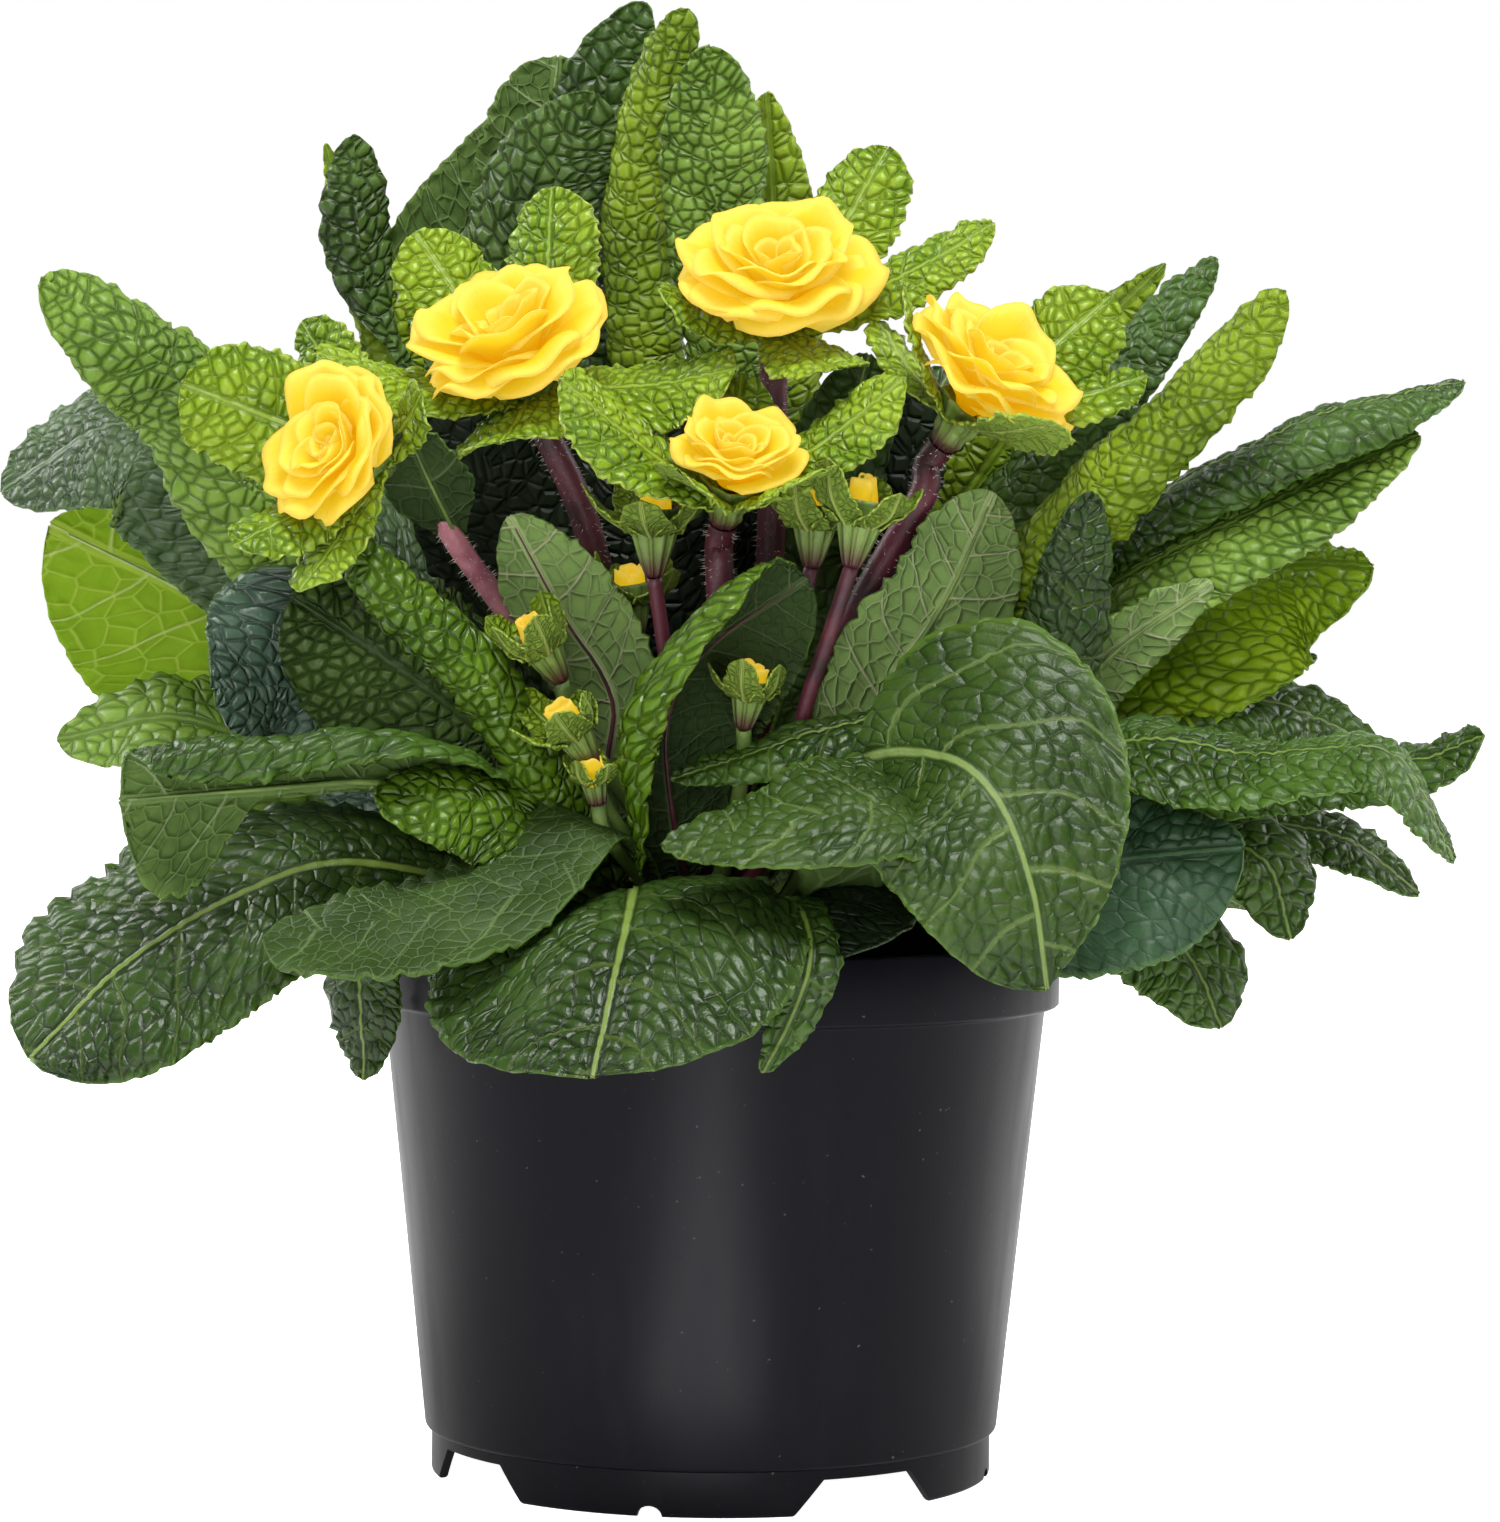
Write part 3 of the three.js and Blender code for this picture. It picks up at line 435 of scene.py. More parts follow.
def plasticMaterial():
    skin, look = Skin("blackPlastic"), plasticLook
    place = skin.place()
    tall = skin.add("ShaderNodeMapping", {"Vector": place, "Scale": (1.0, 1.0, 0.15)})[0]
    masks = []
    for where, (scale, detail, low, high) in ((tall, look["wornNoise"]), (place, look["dustNoise"])):
        masks.append(skin.remap(skin.speckle(where, scale, detail), low, high))
    scuffs, dust = masks
    colour = skin.blend(skin.times(scuffs, look["wornShare"]), look["colour"], look["worn"])
    rough = skin.times(dust, look["dustRough"], skin.times(scuffs, look["wornRough"], look["roughness"]))
    (grainScale, grainHeight), (waveScale, waveHeight) = look["grain"], look["wave"]
    height = skin.times(skin.speckle(place, grainScale), grainHeight)
    height = skin.times(skin.speckle(place, waveScale), waveHeight, height)
    return skin.finish({"Base Color": skin.blend(skin.times(dust, look["dustShare"]), colour, look["dust"]),
                        "Specular IOR Level": look["shine"], "Roughness": rough}, height)


funnelSkin, petalSkin, potPlastic = funnelMaterial(), petalMaterial(), plasticMaterial()
lobeSkins = [leafMaterials["sepal"], leafMaterials["underSepal"]]
print("materials ready")


# pot

potShape = dict(
    sides=144, bevel=0.6, bevelFrom=45,  # the rings further out than this are bevelled
    # radius and height, from the middle of the underside round the outside to the middle of the floor
    profile=((0, 7), (51, 7), (51, 0), (52.8, 0), (52.8, 8.2), (54, 8.6), (62.4, 88.4), (65, 88.6),
             (65, 101), (63.3, 101), (63.3, 91.4), (61.2, 88.6), (52.8, 8.2), (0, 8.2)),
    foot=dict(radius=50, thickness=12),
    notch=dict(angle=33.5, bottom=32, top=19, height=6.4),
    arch=dict(angle=-11.5, width=4.7, height=2),
    drains=dict(count=8, radius=4, circle=40, height=7.5, depth=6),
)


def spunProfile(shape):
    bm = bmesh.new()
    verts = [bm.verts.new((radius * mm, 0, height * mm)) for radius, height in shape["profile"]]
    edges = [bm.edges.new(pair) for pair in zip(verts, verts[1:])]
    bmesh.ops.spin(bm, geom=verts + edges, cent=(0, 0, 0), axis=(0, 0, 1), dvec=(0, 0, 0),
                   angle=2 * math.pi, steps=shape["sides"], use_merge=True, use_duplicate=False)
    bmesh.ops.remove_doubles(bm, verts=bm.verts, dist=1e-6)
    bmesh.ops.recalc_face_normals(bm, faces=bm.faces)
    return bm


def addRod(bm, radius, depth, sides, matrix):
    bmesh.ops.create_cone(bm, cap_ends=True, segments=sides, radius1=radius, radius2=radius, depth=depth,
                          matrix=matrix)


def potCutters():
    bm = bmesh.new()
    foot, notch, arch, drains = (potShape[key] for key in ("foot", "notch", "arch", "drains"))
    lay = Matrix.Translation((0, -foot["radius"] * mm, 0)) @ Matrix.Rotation(math.radians(90), 4, "X")
    squash = Matrix.Diagonal((arch["width"] / 2, arch["height"], 1, 1))
    for quarter in range(4):
        turn = Matrix.Rotation(math.radians(notch["angle"] + 90 * quarter), 4, "Z")
        for vert in bmesh.ops.create_cube(bm, size=1)["verts"]:
            width, height = (notch["top"], notch["height"]) if vert.co.z > 0 else (notch["bottom"], -1)
            y = vert.co.y * foot["thickness"] - foot["radius"]
            vert.co = turn @ (Vector((vert.co.x * width, y, height)) * mm)
        turn = Matrix.Rotation(math.radians(arch["angle"] + 90 * quarter), 4, "Z")
        addRod(bm, mm, foot["thickness"] * mm, 20, turn @ lay @ squash)
    for hole in range(drains["count"]):
        angle = 2 * math.pi * (hole + 0.5) / drains["count"]
        out = Vector((math.cos(angle), math.sin(angle), 0))
        place = out * drains["circle"] + Vector((0, 0, drains["height"]))
        addRod(bm, drains["radius"] * mm, drains["depth"] * mm, 28, Matrix.Translation(place * mm))
    return newPiece("potCutters", bm, [])


def settle(pieces):  # applies what shapes the pieces so far, and leaves plain meshes
    bpy.context.view_layer.update()
    graph = bpy.context.evaluated_depsgraph_get()
    shaped = [bpy.data.meshes.new_from_object(piece.evaluated_get(graph), preserve_all_data_layers=True,
                                              depsgraph=graph) for piece in pieces]
    for piece, mesh in zip(pieces, shaped):
        piece.modifiers.clear()
        piece.data = mesh


def addThickness(piece, thickness, offset=-1, skins=1):  # skins is 1 where the underside has its own material
    solidify = piece.modifiers.new("thickness", "SOLIDIFY")
    solidify.thickness, solidify.offset, solidify.material_offset = thickness * mm, offset, skins


def finishPiece(piece, slot, *replaced):
    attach(piece, "root")
    if replaced:
        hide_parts(*replaced)


def isBevelled(edge):  # a level ring on the outside, where the outline turns
    ends = [vert.co for vert in edge.verts]
    reach = [end.to_2d().length for end in ends]
    level = edge.is_manifold and abs(ends[0].z - ends[1].z) < 1e-7 and abs(reach[0] - reach[1]) < 1e-7
    return level and edge.calc_face_angle() > 0.3 and reach[0] > potShape["bevelFrom"] * mm


def addPot():
    bm = spunProfile(potShape)
    bmesh.ops.bevel(bm, geom=[edge for edge in bm.edges if isBevelled(edge)], offset=potShape["bevel"] * mm,
                    offset_type="OFFSET", segments=3, profile=0.5, affect="EDGES", material=-1)
    pot = newPiece("pot_shell", bm, [potPlastic])
    cutters = potCutters()
    cut = pot.modifiers.new("cuts", "BOOLEAN")
    cut.operation, cut.object, cut.solver = "DIFFERENCE", cutters, "EXACT"
    settle([pot])
    bpy.data.objects.remove(cutters)
    pot.data.set_sharp_from_angle(angle=math.radians(40))
    finishPiece(pot, "pot", "pot")
    card = addLight("potCard", *studio["potCard"])
    card.visible_camera = False
    card.light_linking.receiver_collection = bpy.data.collections.new("litByCard")
    card.light_linking.receiver_collection.objects.link(pot)


addPot()
print("pot ready")


# potting mix and rootstock

soilShape = dict(
    sides=96, top=(90.5, 59.5),  # the crumbs are above this height and inside this radius
    profile=((0, 8.5), (52.5, 8.5), (60.6, 88), (60, 91),
             *((r, 91 + 2.5 * (1 - r / 60)) for r in range(57, 0, -3)), (0, 93.5)),
    crumbs=((160, 1.6), (420, 0.9)),  # noise scale and height
)
crownShape = dict(centre=(-3, 0, 97), size=(22, 22, 14), lumps=((45, 1.2), (160, 0.5)))


def roughen(verts, layers, direction):
    for vert in verts:
        lift = sum(noise.noise(vert.co * scale) * height for scale, height in layers)
        vert.co += direction(vert) * lift * mm


def addSoil():
    bm = spunProfile(soilShape)
    height, radius = soilShape["top"]
    top = [vert for vert in bm.verts if vert.co.z > height * mm and vert.co.to_2d().length < radius * mm]
    roughen(top, soilShape["crumbs"], lambda vert: Vector((0, 0, 1)))
    finishPiece(newPiece("potting_mix_surface", bm, [soilMaterial]), "potting_mix", "potting_mix")
    bm = bmesh.new()
    size = Matrix.Diagonal([side * mm for side in crownShape["size"]]).to_4x4()
    bmesh.ops.create_uvsphere(bm, u_segments=64, v_segments=32, radius=1,
                              matrix=Matrix.Translation(Vector(crownShape["centre"]) * mm) @ size)
    bm.normal_update()
    roughen(bm.verts, crownShape["lumps"], lambda vert: vert.normal)
    finishPiece(newPiece("rootstock_crown", bm, [crownMaterial]), "rootstock", "rootstock")


addSoil()
print("potting mix ready")


# blades and tubes

# The midrib of a blade follows its spine, from the rootstock to the tip. Face is where its upper face looks,
# and faceEnd is the same at the tip. A pair of values is for the left side and the right side.
plainBlade = dict(
    slot="leaf", under="under", midrib="green", rib=True,
    roll=30, fold=0, sweep=(0, 0), waist=0, widest=0.6, petiole=1.6,
    point=0,       # 0 for a round tip, 1 for a sharp one
    rowStep=1.12, columnStep=1.35,  # mesh size along and across
    spacing=9.0,   # between side veins
    pillow=0.5,    # height of the pillows
    bulge=0.45, wave=2.4, crimp=1.0, tooth=0.45,
)
# lengths of a blade's waves, crimps, teeth and frills, and how far its side veins lean and wander
bladeDetail = dict(wave=(15, 17), crimp=5.3, tooth=2.7, frill=6, lean=0.45, bend=0.018, drift=0.35, wander=16)


def crownPoint(first, clearance):  # where a leaf or stalk leaves the rootstock, towards its first bend
    centre, size = Vector(crownShape["centre"]), Vector(crownShape["size"])
    direction = (Vector(first) - centre).normalized()
    reach = 1 / Vector(d / s for d, s in zip(direction, size)).length
    return centre + direction * (reach + clearance)


def curveThrough(points, spans=20):  # a smooth line through the points
    ends = [2 * points[0] - points[1], *points, 2 * points[-1] - points[-2]]
    line = [points[0]]
    for before, start, end, after in zip(ends, ends[1:], ends[2:], ends[3:]):
        handles = start + (end - before) / 6, end - (after - start) / 6
        line += interpolate_bezier(start, *handles, end, spans)[1:]
    return line


def walkCurve(points, shares):  # the curve's length, and its point and direction at each share of it
    line = curveThrough(points)
    lengths = [0.0]
    for start, end in zip(line, line[1:]):
        lengths.append(lengths[-1] + (end - start).length)
    turns = [(line[min(i + 1, len(line) - 1)] - line[max(i - 1, 0)]).normalized() for i in range(len(line))]
    stops, i = [], 0
    for share in shares:
        target = share * lengths[-1]
        while i < len(line) - 2 and lengths[i + 1] < target:
            i += 1
        part = (target - lengths[i]) / (lengths[i + 1] - lengths[i])
        stops.append((line[i].lerp(line[i + 1], part), turns[i].lerp(turns[i + 1], part).normalized()))
    return lengths[-1], stops


def evenShares(count):
    return [k / count for k in range(count + 1)]


def squareTo(along, vector):
    return (vector - along * vector.dot(along)).normalized()


def faceAt(blade, along, t):  # where the upper face looks, square to the midrib
    face = Vector(blade["face"]).lerp(Vector(blade.get("faceEnd", blade["face"])), t)
    return squareTo(along, face)


def bladeShare(t, waist, widest, point):  # share of the greatest half width, from base to tip
    if t < widest:
        x = min(max((t - waist) / (widest - waist), 0), 1)
        return (x * x * (3 - 2 * x)) ** 0.8
    past = (t - widest) / (1 - widest)
    return (1 - point) * math.sqrt(max(0.0004, 1 - past ** 2.4)) + point * max(0.02, 1 - past ** 1.5)


def bothSides(value):
    return value if isinstance(value, tuple) else (value, value)


def sectionSide(columns, width, fold, roll):  # out, up and slope at each step away from the midrib
    def slope(step):
        return math.radians(fold - roll * (step / columns) ** 1.3)

    steps, out, up = [(0.0, 0.0, slope(0))], 0.0, 0.0
    for column in range(1, columns + 1):
        middle = slope(column - 0.5)
        out += math.cos(middle) * width / columns
        up += math.sin(middle) * width / columns
        steps.append((out, up, slope(column)))
    return steps


def addGrid(bm, columns, rows, slot=0, layer=None):  # a flat grid to bend, with its own map
    made = bmesh.ops.create_grid(bm, x_segments=columns, y_segments=rows, size=1)["verts"]
    for face in {face for vert in made for face in vert.link_faces}:
        face.material_index = slot
        for loop in face.loops if layer else ():
            loop[bm.loops.layers.uv.get(layer)].uv = ((loop.vert.co.x + 1) / 2, (loop.vert.co.y + 1) / 2)
    return made


def addBlade(bm, shape, seed):
    blade, detail = {**plainBlade, **shape}, bladeDetail
    half, roll = bothSides(blade["half"]), bothSides(blade["roll"])
    spine = [Vector(point) for point in blade["spine"]]
    length = walkCurve(spine, [])[0]
    rows = max(10, round(length / blade["rowStep"]))
    columns = max(4, round(max(half) / blade["columnStep"]))
    shares = [1 - (1 - share) ** 1.2 for share in evenShares(rows)]
    spacing, petiole = blade["spacing"], blade["petiole"]
    crimp = blade["crimp"] * min(1, max(half) / 22) ** 0.7  # narrow blades are less frilly
    shift = 0 if blade["rib"] else 0.7  # no midrib shows in the vein net

    strips = []  # for each row: its centre, directions, and both sides of its section
    for t, (centre, along) in zip(shares, walkCurve(spine, shares)[1]):
        normal = faceAt(blade, along, t)
        shapes = zip(*(bothSides(blade[key]) for key in ("waist", "widest", "point")))
        fill = [bladeShare(t, *side) for side in shapes]
        widths = [petiole * min(1, 8 * (1 - t) + 0.05) + (half[i] - petiole) * fill[i] for i in (0, 1)]
        sides = [sectionSide(columns, widths[i], blade["fold"] * fill[i], roll[i] * fill[i]) for i in (0, 1)]
        strips.append((centre, along, normal, along.cross(normal), fill, widths, sides))

    def veinPlace(side, u, v):  # along the midrib and away from it, in side vein spacings
        wander, lean = detail["wander"], detail["lean"] * u + detail["bend"] * u * u
        drift = detail["drift"] * noise.noise(Vector((u / wander, v / wander, seed + 3.7 + side)))
        return (v - lean) / spacing + drift + 0.37 * side + seed, u / spacing + shift

    spots, made = {}, addGrid(bm, 2 * columns, rows)
    for vert in made:
        column = round((vert.co.x + 1) * columns) - columns
        row = round((vert.co.y + 1) / 2 * rows)
        side, sign = (1, 1) if column > 0 else (0, -1)
        centre, along, normal, right, fill, widths, sides = strips[row]
        out, up, slope = sides[side][abs(column)]
        edge, t = abs(column) / columns, shares[row]
        u, v, body = edge * widths[side], t * length, fill[side]
        spots[vert] = (column, u, v, t)
        swell = 0.5 - 0.5 * math.cos(2 * math.pi * veinPlace(side, u, v)[0])
        lift = blade["bulge"] * swell * min(1, u / (0.5 * spacing))
        acrossWave, alongWave = detail["wave"]
        wave = noise.noise(Vector((sign * u / acrossWave, v / alongWave, seed)))
        lift += blade["wave"] * wave * (0.3 + edge)
        frill = noise.noise(Vector((v / detail["frill"], sign, seed)))
        lift += crimp * edge ** 5 * math.sin(2 * math.pi * (v / detail["crimp"] + frill))
        jag = 0.6 * math.sin(2 * math.pi * (v / detail["tooth"] + frill)) + 1.2 * frill
        tooth = blade["tooth"] * edge ** 9 * jag
        setBack = blade["sweep"][side] * body * (1 - t) * edge * edge
        outward = normal * math.cos(slope) - right * (sign * math.sin(slope))
        level = right * (sign * math.cos(slope)) + normal * math.sin(slope)
        place = centre + right * (sign * out) + normal * up - along * setBack
        vert.co = (place + outward * (lift * body) + level * (tooth * body)) * mm

    veins, bladeMap = bm.loops.layers.uv.get("veins"), bm.loops.layers.uv.get("blade")
    for face in {face for vert in made for face in vert.link_faces}:
        side = 1 if sum(spots[vert][0] for vert in face.verts) > 0 else 0
        for loop in face.loops:
            column, u, v, t = spots[loop.vert]
            x, y = veinPlace(side, u, v)
            loop[veins].uv = (x, y + veinNet["otherSide"] * side)
            loop[bladeMap].uv = (0.5 + 0.5 * column / columns, t)


def addTube(bm, spine, radiusAt, sides=12, step=2.0, ribs=0.0, slot=0):
    rows = max(4, round(walkCurve(spine, [])[0] / step))
    shares = evenShares(rows)
    stops = walkCurve(spine, shares)[1]
    rings, first = [], stops[0][1].orthogonal().normalized()
    for centre, along in stops:
        first = squareTo(along, first)
        rings.append((centre, first, along.cross(first)))
    made = addGrid(bm, sides, rows, slot, "veins")
    for vert in made:
        row, angle = round((vert.co.y + 1) / 2 * rows), math.pi * vert.co.x
        centre, front, up = rings[row]
        radius = radiusAt(shares[row]) * (1 + ribs * math.cos(10 * angle))
        vert.co = (centre + (front * math.cos(angle) + up * math.sin(angle)) * radius) * mm
    bmesh.ops.remove_doubles(bm, verts=made, dist=1e-6)


def layeredMesh():
    bm = bmesh.new()
    bm.loops.layers.uv.new("veins")
    bm.loops.layers.uv.new("blade")
    return bm


# leaves

leaves = dict(
    leaf_front_centre=dict(slot="old_leaf", tone="dark",
        spine=((-14, -38, 112), (-15, -64, 108), (-20, -93, 83)), face=(-0.22, -0.2, 1),
        faceEnd=(-0.22, -0.7, 0.7), half=(33, 37), roll=(25, 18), waist=(0.2, 0.3), spacing=13, pillow=0.45),
    # near-black painted shade on a leaf that lies in shadow
    leaf_front_shaded=dict(slot="old_leaf", tone="deep",
        spine=((6, -30, 108), (14, -52, 110), (22, -71, 102)), face=(0, -0.5, 0.85), half=(22, 26), roll=10,
        waist=0.1),
    leaf_front_right=dict(tone="matte",
        spine=((14, -34, 112), (24, -47, 134), (39, -61, 137), (49, -71, 130), (55, -77, 115), (58, -77, 97)),
        face=(-0.3, -0.95, 0.35), faceEnd=(0.15, -0.95, 0.25), half=(29, 30), roll=(5, 20), sweep=(24, 46),
        waist=(0.4, 0.08), widest=(0.64, 0.55), point=(1, 0), spacing=14),
    leaf_front_left=dict(slot="old_leaf", tone="smooth",
        spine=((-17, -44, 122), (-36, -56, 111), (-58, -61, 107), (-79, -60, 103.5)), face=(0, -0.5, 0.87),
        half=(18, 17), roll=(0, 10), sweep=(6, 0), waist=(0.3, 0), widest=(0.8, 0.4), spacing=12,
        pillow=0.25, rib=False),
    leaf_left_low=dict(slot="old_leaf", tone="dark",
        spine=((-42, -20, 111), (-67, -35, 116), (-84, -42, 111), (-104, -48, 99), (-122, -50, 81)),
        face=(-0.2, -0.7, 0.7), faceEnd=(-0.35, -0.8, 0.5), half=(23, 27), roll=(30, 25), widest=0.75,
        spacing=12.5, pillow=0.45),
    leaf_left_turned=dict(slot="young_leaf", tone="mid",
        spine=((-38, -25, 120), (-56, -40, 130), (-83, -48, 129), (-106, -50, 127)), face=(0, 0.95, -0.1),
        half=(26, 19), roll=(215, 25), waist=(0, 0.76), widest=(0.8, 0.93)),
    leaf_left_dark=dict(slot="old_leaf", tone="wet",
        spine=((-42, -12, 122), (-64, -18, 138), (-78, -25, 147), (-91, -36, 147)), face=(-0.3, -0.95, 0.1),
        half=(17, 24), widest=0.75, spacing=7.5, pillow=0.4, rib=False),
    leaf_left_small=dict(tone="light", spine=((-50, -2, 118), (-96, 2, 140), (-125, 2, 137)),
        face=(-0.1, -0.6, 0.8), half=16, roll=20, spacing=12, pillow=0.35),
    leaf_left_backlit=dict(slot="young_leaf", tone="backlit", under="underBright", midrib="pale",
        spine=((-50, 15, 130), (-94, 25, 160), (-130, 26, 178)), face=(-0.2, 0.85, 0.45), half=(15, 33),
        roll=15, waist=(0.25, 0), spacing=15, pillow=0.35),
    leaf_left_upper=dict(tone="grey",
        spine=((-48, 16, 146), (-94, 10, 189), (-115, 12, 197), (-138, 14, 184)), face=(-0.2, -0.62, 0.75),
        half=26, roll=35, waist=(0, 0.2)),
    leaf_left_spear=dict(tone="light",
        spine=((-44, 0, 132), (-71, -8, 163), (-88, -18, 186), (-101, -24, 205), (-124, -25, 222)),
        face=(-0.35, -0.6, 0.7), half=14, roll=40, fold=-15, widest=0.7, rib=False),
    leaf_left_rolled=dict(slot="young_leaf", tone="rolled",
        spine=((-28, -36, 129), (-41, -44, 149), (-57, -45, 165), (-68, -41, 175)), face=(0.3, -0.9, 0.3),
        half=9.5, roll=115, spacing=7.5, pillow=0.4, rib=False),
    leaf_left_shaded=dict(slot="old_leaf", tone="rugose",
        spine=((-36, -20, 133), (-58, -28, 151), (-78, -27, 164)), face=(-0.2, -0.85, 0.4), half=20, roll=40,
        spacing=7.5, pillow=0.4),
    leaf_inner_left=dict(tone="mid", under="underPale", midrib="purple",
        spine=((-20, -18, 128), (-19, -23, 146), (-28, -26, 161), (-38, -28, 179)), face=(0.15, 0.9, 0.3),
        half=(12, 10), roll=20),
    # its underside darkened by painted shade inside the roll
    leaf_inner_centre=dict(slot="young_leaf", tone="rolled", under="underDark", midrib="purple",
        spine=((-8, -34, 124), (-9, -41, 143), (-1, -45, 156), (16, -45, 168)), face=(-0.3, 0.9, 0.2),
        half=(18, 23), roll=(20, 170), spacing=7.5, pillow=0.4),
    leaf_inner_right=dict(tone="mid", under="underPale",
        spine=((24, -26, 122), (30, -29, 146), (41, -31, 164), (50, -28, 184)), face=(-0.2, 0.9, 0.2),
        half=14),
    leaf_right_round=dict(slot="old_leaf", tone="blue",
        spine=((40, -34, 112), (70, -48, 118), (94, -52, 121)), face=(-0.1, -0.9, 0.4), half=(12, 21),
        roll=20, waist=(0.4, 0.3), widest=0.7, spacing=12, pillow=0.4),
    leaf_right_hanging=dict(tone="mid",
        spine=((45, -20, 109), (70, -26, 111), (86, -28, 101), (93, -30, 87)), face=(0.2, -0.6, 0.7),
        half=16, roll=20, waist=0.2),
    # its underside brighter yellow-green as painted light that comes through
    leaf_right_low=dict(tone="mid", under="underBright",
        spine=((44, -26, 120), (72, -40, 139), (96, -50, 137.5), (119, -58, 138), (131, -58, 119)),
        face=(0, -0.7, 0.75), faceEnd=(0.5, -0.3, 0.85), half=17, roll=40, waist=(0.2, 0.35)),
    leaf_right_far=dict(tone="mid",
        spine=((60, -12, 121), (100, -22, 131), (126, -32, 136), (138.5, -38, 141)), face=(0, -0.6, 0.8),
        half=10, waist=0.35, widest=0.85),
    leaf_right_backlit=dict(slot="young_leaf", tone="lit", under="underBright",
        spine=((44, 4, 126), (72, -4, 152), (91, -7, 164), (106, -8, 172), (122, -10, 172)),
        face=(-0.2, -0.7, 0.7), half=(12, 24), widest=(0.6, 0.74), spacing=11, pillow=0.6),
    leaf_right_middle=dict(tone="light",
        spine=((38, -4, 134), (60, -14, 158), (80, -20, 172), (103, -22, 184), (128, -24, 196)),
        face=(-0.3, -0.6, 0.75), half=(12, 16), roll=40, pillow=0.6),
    leaf_right_long=dict(tone="mid",
        spine=((32, -4, 142), (55, -8, 165), (74, -14, 180), (107, -22, 198), (137, -20, 206)),
        face=(-0.35, -0.35, 0.87), half=13, roll=80, waist=0.1, widest=0.78),
    leaf_right_bright=dict(slot="young_leaf", tone="fresh",
        spine=((34, -15, 134), (47, -22, 160), (59, -29, 177), (74, -35, 191.5), (102, -35, 221)),
        face=(-0.35, -0.8, 0.5), half=12.5, roll=110, waist=0.1, spacing=7.5, pillow=0.4, rib=False),
    leaf_right_upper=dict(tone="mid",
        spine=((19, 2, 140), (50, -6, 182), (70, -9, 204), (79, -10, 215), (92, -10, 229)),
        face=(-0.3, -0.6, 0.7), half=11, roll=60, rib=False),
    leaf_tall_left=dict(slot="old_leaf", tone="rugose",
        spine=((-28, 20, 136), (-44, 28, 180), (-63, 31, 212), (-70, 30, 228), (-72, 28, 254)),
        face=(0.1, -0.9, 0.2), half=8, roll=20, fold=-20, waist=0.74, widest=0.88, spacing=7.5, pillow=0.4,
        rib=False),
    leaf_tall_broad=dict(tone="mid",
        spine=((-24, 26, 134), (-38, 38, 180), (-46, 42, 222), (-40, 43, 248), (-29, 40, 270)),
        face=(0, 0.9, 0.3), half=(20, 31), roll=20, widest=(0.6, 0.55), point=(0, 1)),
    leaf_tall_rugose=dict(slot="old_leaf", tone="rugose",
        spine=((-18, 18, 138), (-29, 23, 180), (-36, 26, 215), (-35, 26, 238), (-25, 24, 262)),
        face=(0, -1, 0.1), half=16, roll=40, widest=0.75, spacing=7.5, pillow=0.4, rib=False),
    leaf_tall_rolled=dict(slot="young_leaf", tone="fresh",
        spine=((-5, 22, 138), (-12, 17, 185), (-16, 16, 222), (-16, 17, 246), (-12, 18, 265), (-7, 19, 278)),
        face=(0, -1, 0.15), half=13, roll=130, spacing=7.5, pillow=0.4, rib=False),
    leaf_tall_right=dict(slot="young_leaf", tone="light",
        spine=((5, 24, 138), (3, 18, 185), (0.5, 14, 225), (-2.5, 14, 251), (-2.5, 13, 270)),
        face=(0, -1, 0.15), half=10, roll=40, widest=0.88, spacing=7.5, pillow=0.6, rib=False),
    leaf_back_centre=dict(slot="old_leaf", tone="mid", spine=((0, 34, 110), (4, 62, 108), (8, 92, 88)),
        face=(0, 0.2, 1), faceEnd=(0, 0.7, 0.7), half=26, roll=25),
    leaf_back_left=dict(slot="old_leaf", tone="dark", spine=((-34, 26, 110), (-66, 50, 113), (-96, 72, 92)),
        face=(-0.3, 0.4, 0.85), half=22, roll=35),
    leaf_back_right=dict(slot="old_leaf", tone="dark", spine=((36, 26, 110), (68, 48, 113), (98, 70, 94)),
        face=(0.3, 0.4, 0.85), half=22, roll=35),
    leaf_back_left_upper=dict(tone="mid", spine=((-26, 40, 124), (-48, 60, 156), (-66, 82, 176)),
        face=(0.3, -0.4, 0.85), half=18, roll=40),
    leaf_back_centre_upper=dict(tone="mid", spine=((6, 40, 130), (8, 58, 170), (8, 80, 202)),
        face=(0, -0.6, 0.7), half=18, roll=40),
    leaf_back_right_upper=dict(tone="fresh", spine=((26, 24, 130), (52, 46, 160), (78, 68, 182)),
        face=(-0.3, -0.4, 0.85), half=18, roll=40),
    # small leaves between the large ones, which have no solid of their own
    filler_hanging=dict(tone="dark",
        spine=((-38, -16, 110), (-56, -28, 112), (-64, -31, 100), (-64, -32, 76)), face=(-0.5, -0.8, 0.2),
        half=8.5, widest=0.75),
    filler_front_tip=dict(tone="mid",
        spine=((8, -34, 109), (15, -62, 110), (17, -73, 102), (14, -75, 92), (9, -76, 82)),
        face=(0.2, -0.9, 0.3), half=5),
    filler_front_band=dict(tone="mid",
        spine=((22, -14, 114), (40, -26, 136), (46, -36, 147), (24, -42, 142), (-8, -46, 132)),
        face=(-0.1, -0.5, 0.85), half=9, roll=60),
    filler_front_wing=dict(tone="matte",
        spine=((30, -30, 112), (46, -48, 122), (31, -66, 129), (12, -71, 125), (-9, -68, 121)),
        face=(0, -0.6, 0.8), half=(15, 18), roll=20, waist=0.35, widest=0.62, point=0.5, spacing=14,
        crimp=0.6, rib=False),
    filler_left_curl=dict(tone="rolled",
        spine=((-14, -20, 116), (-30, -38, 124), (-46, -46, 129), (-60, -51, 127)), face=(0.1, -0.7, 0.7),
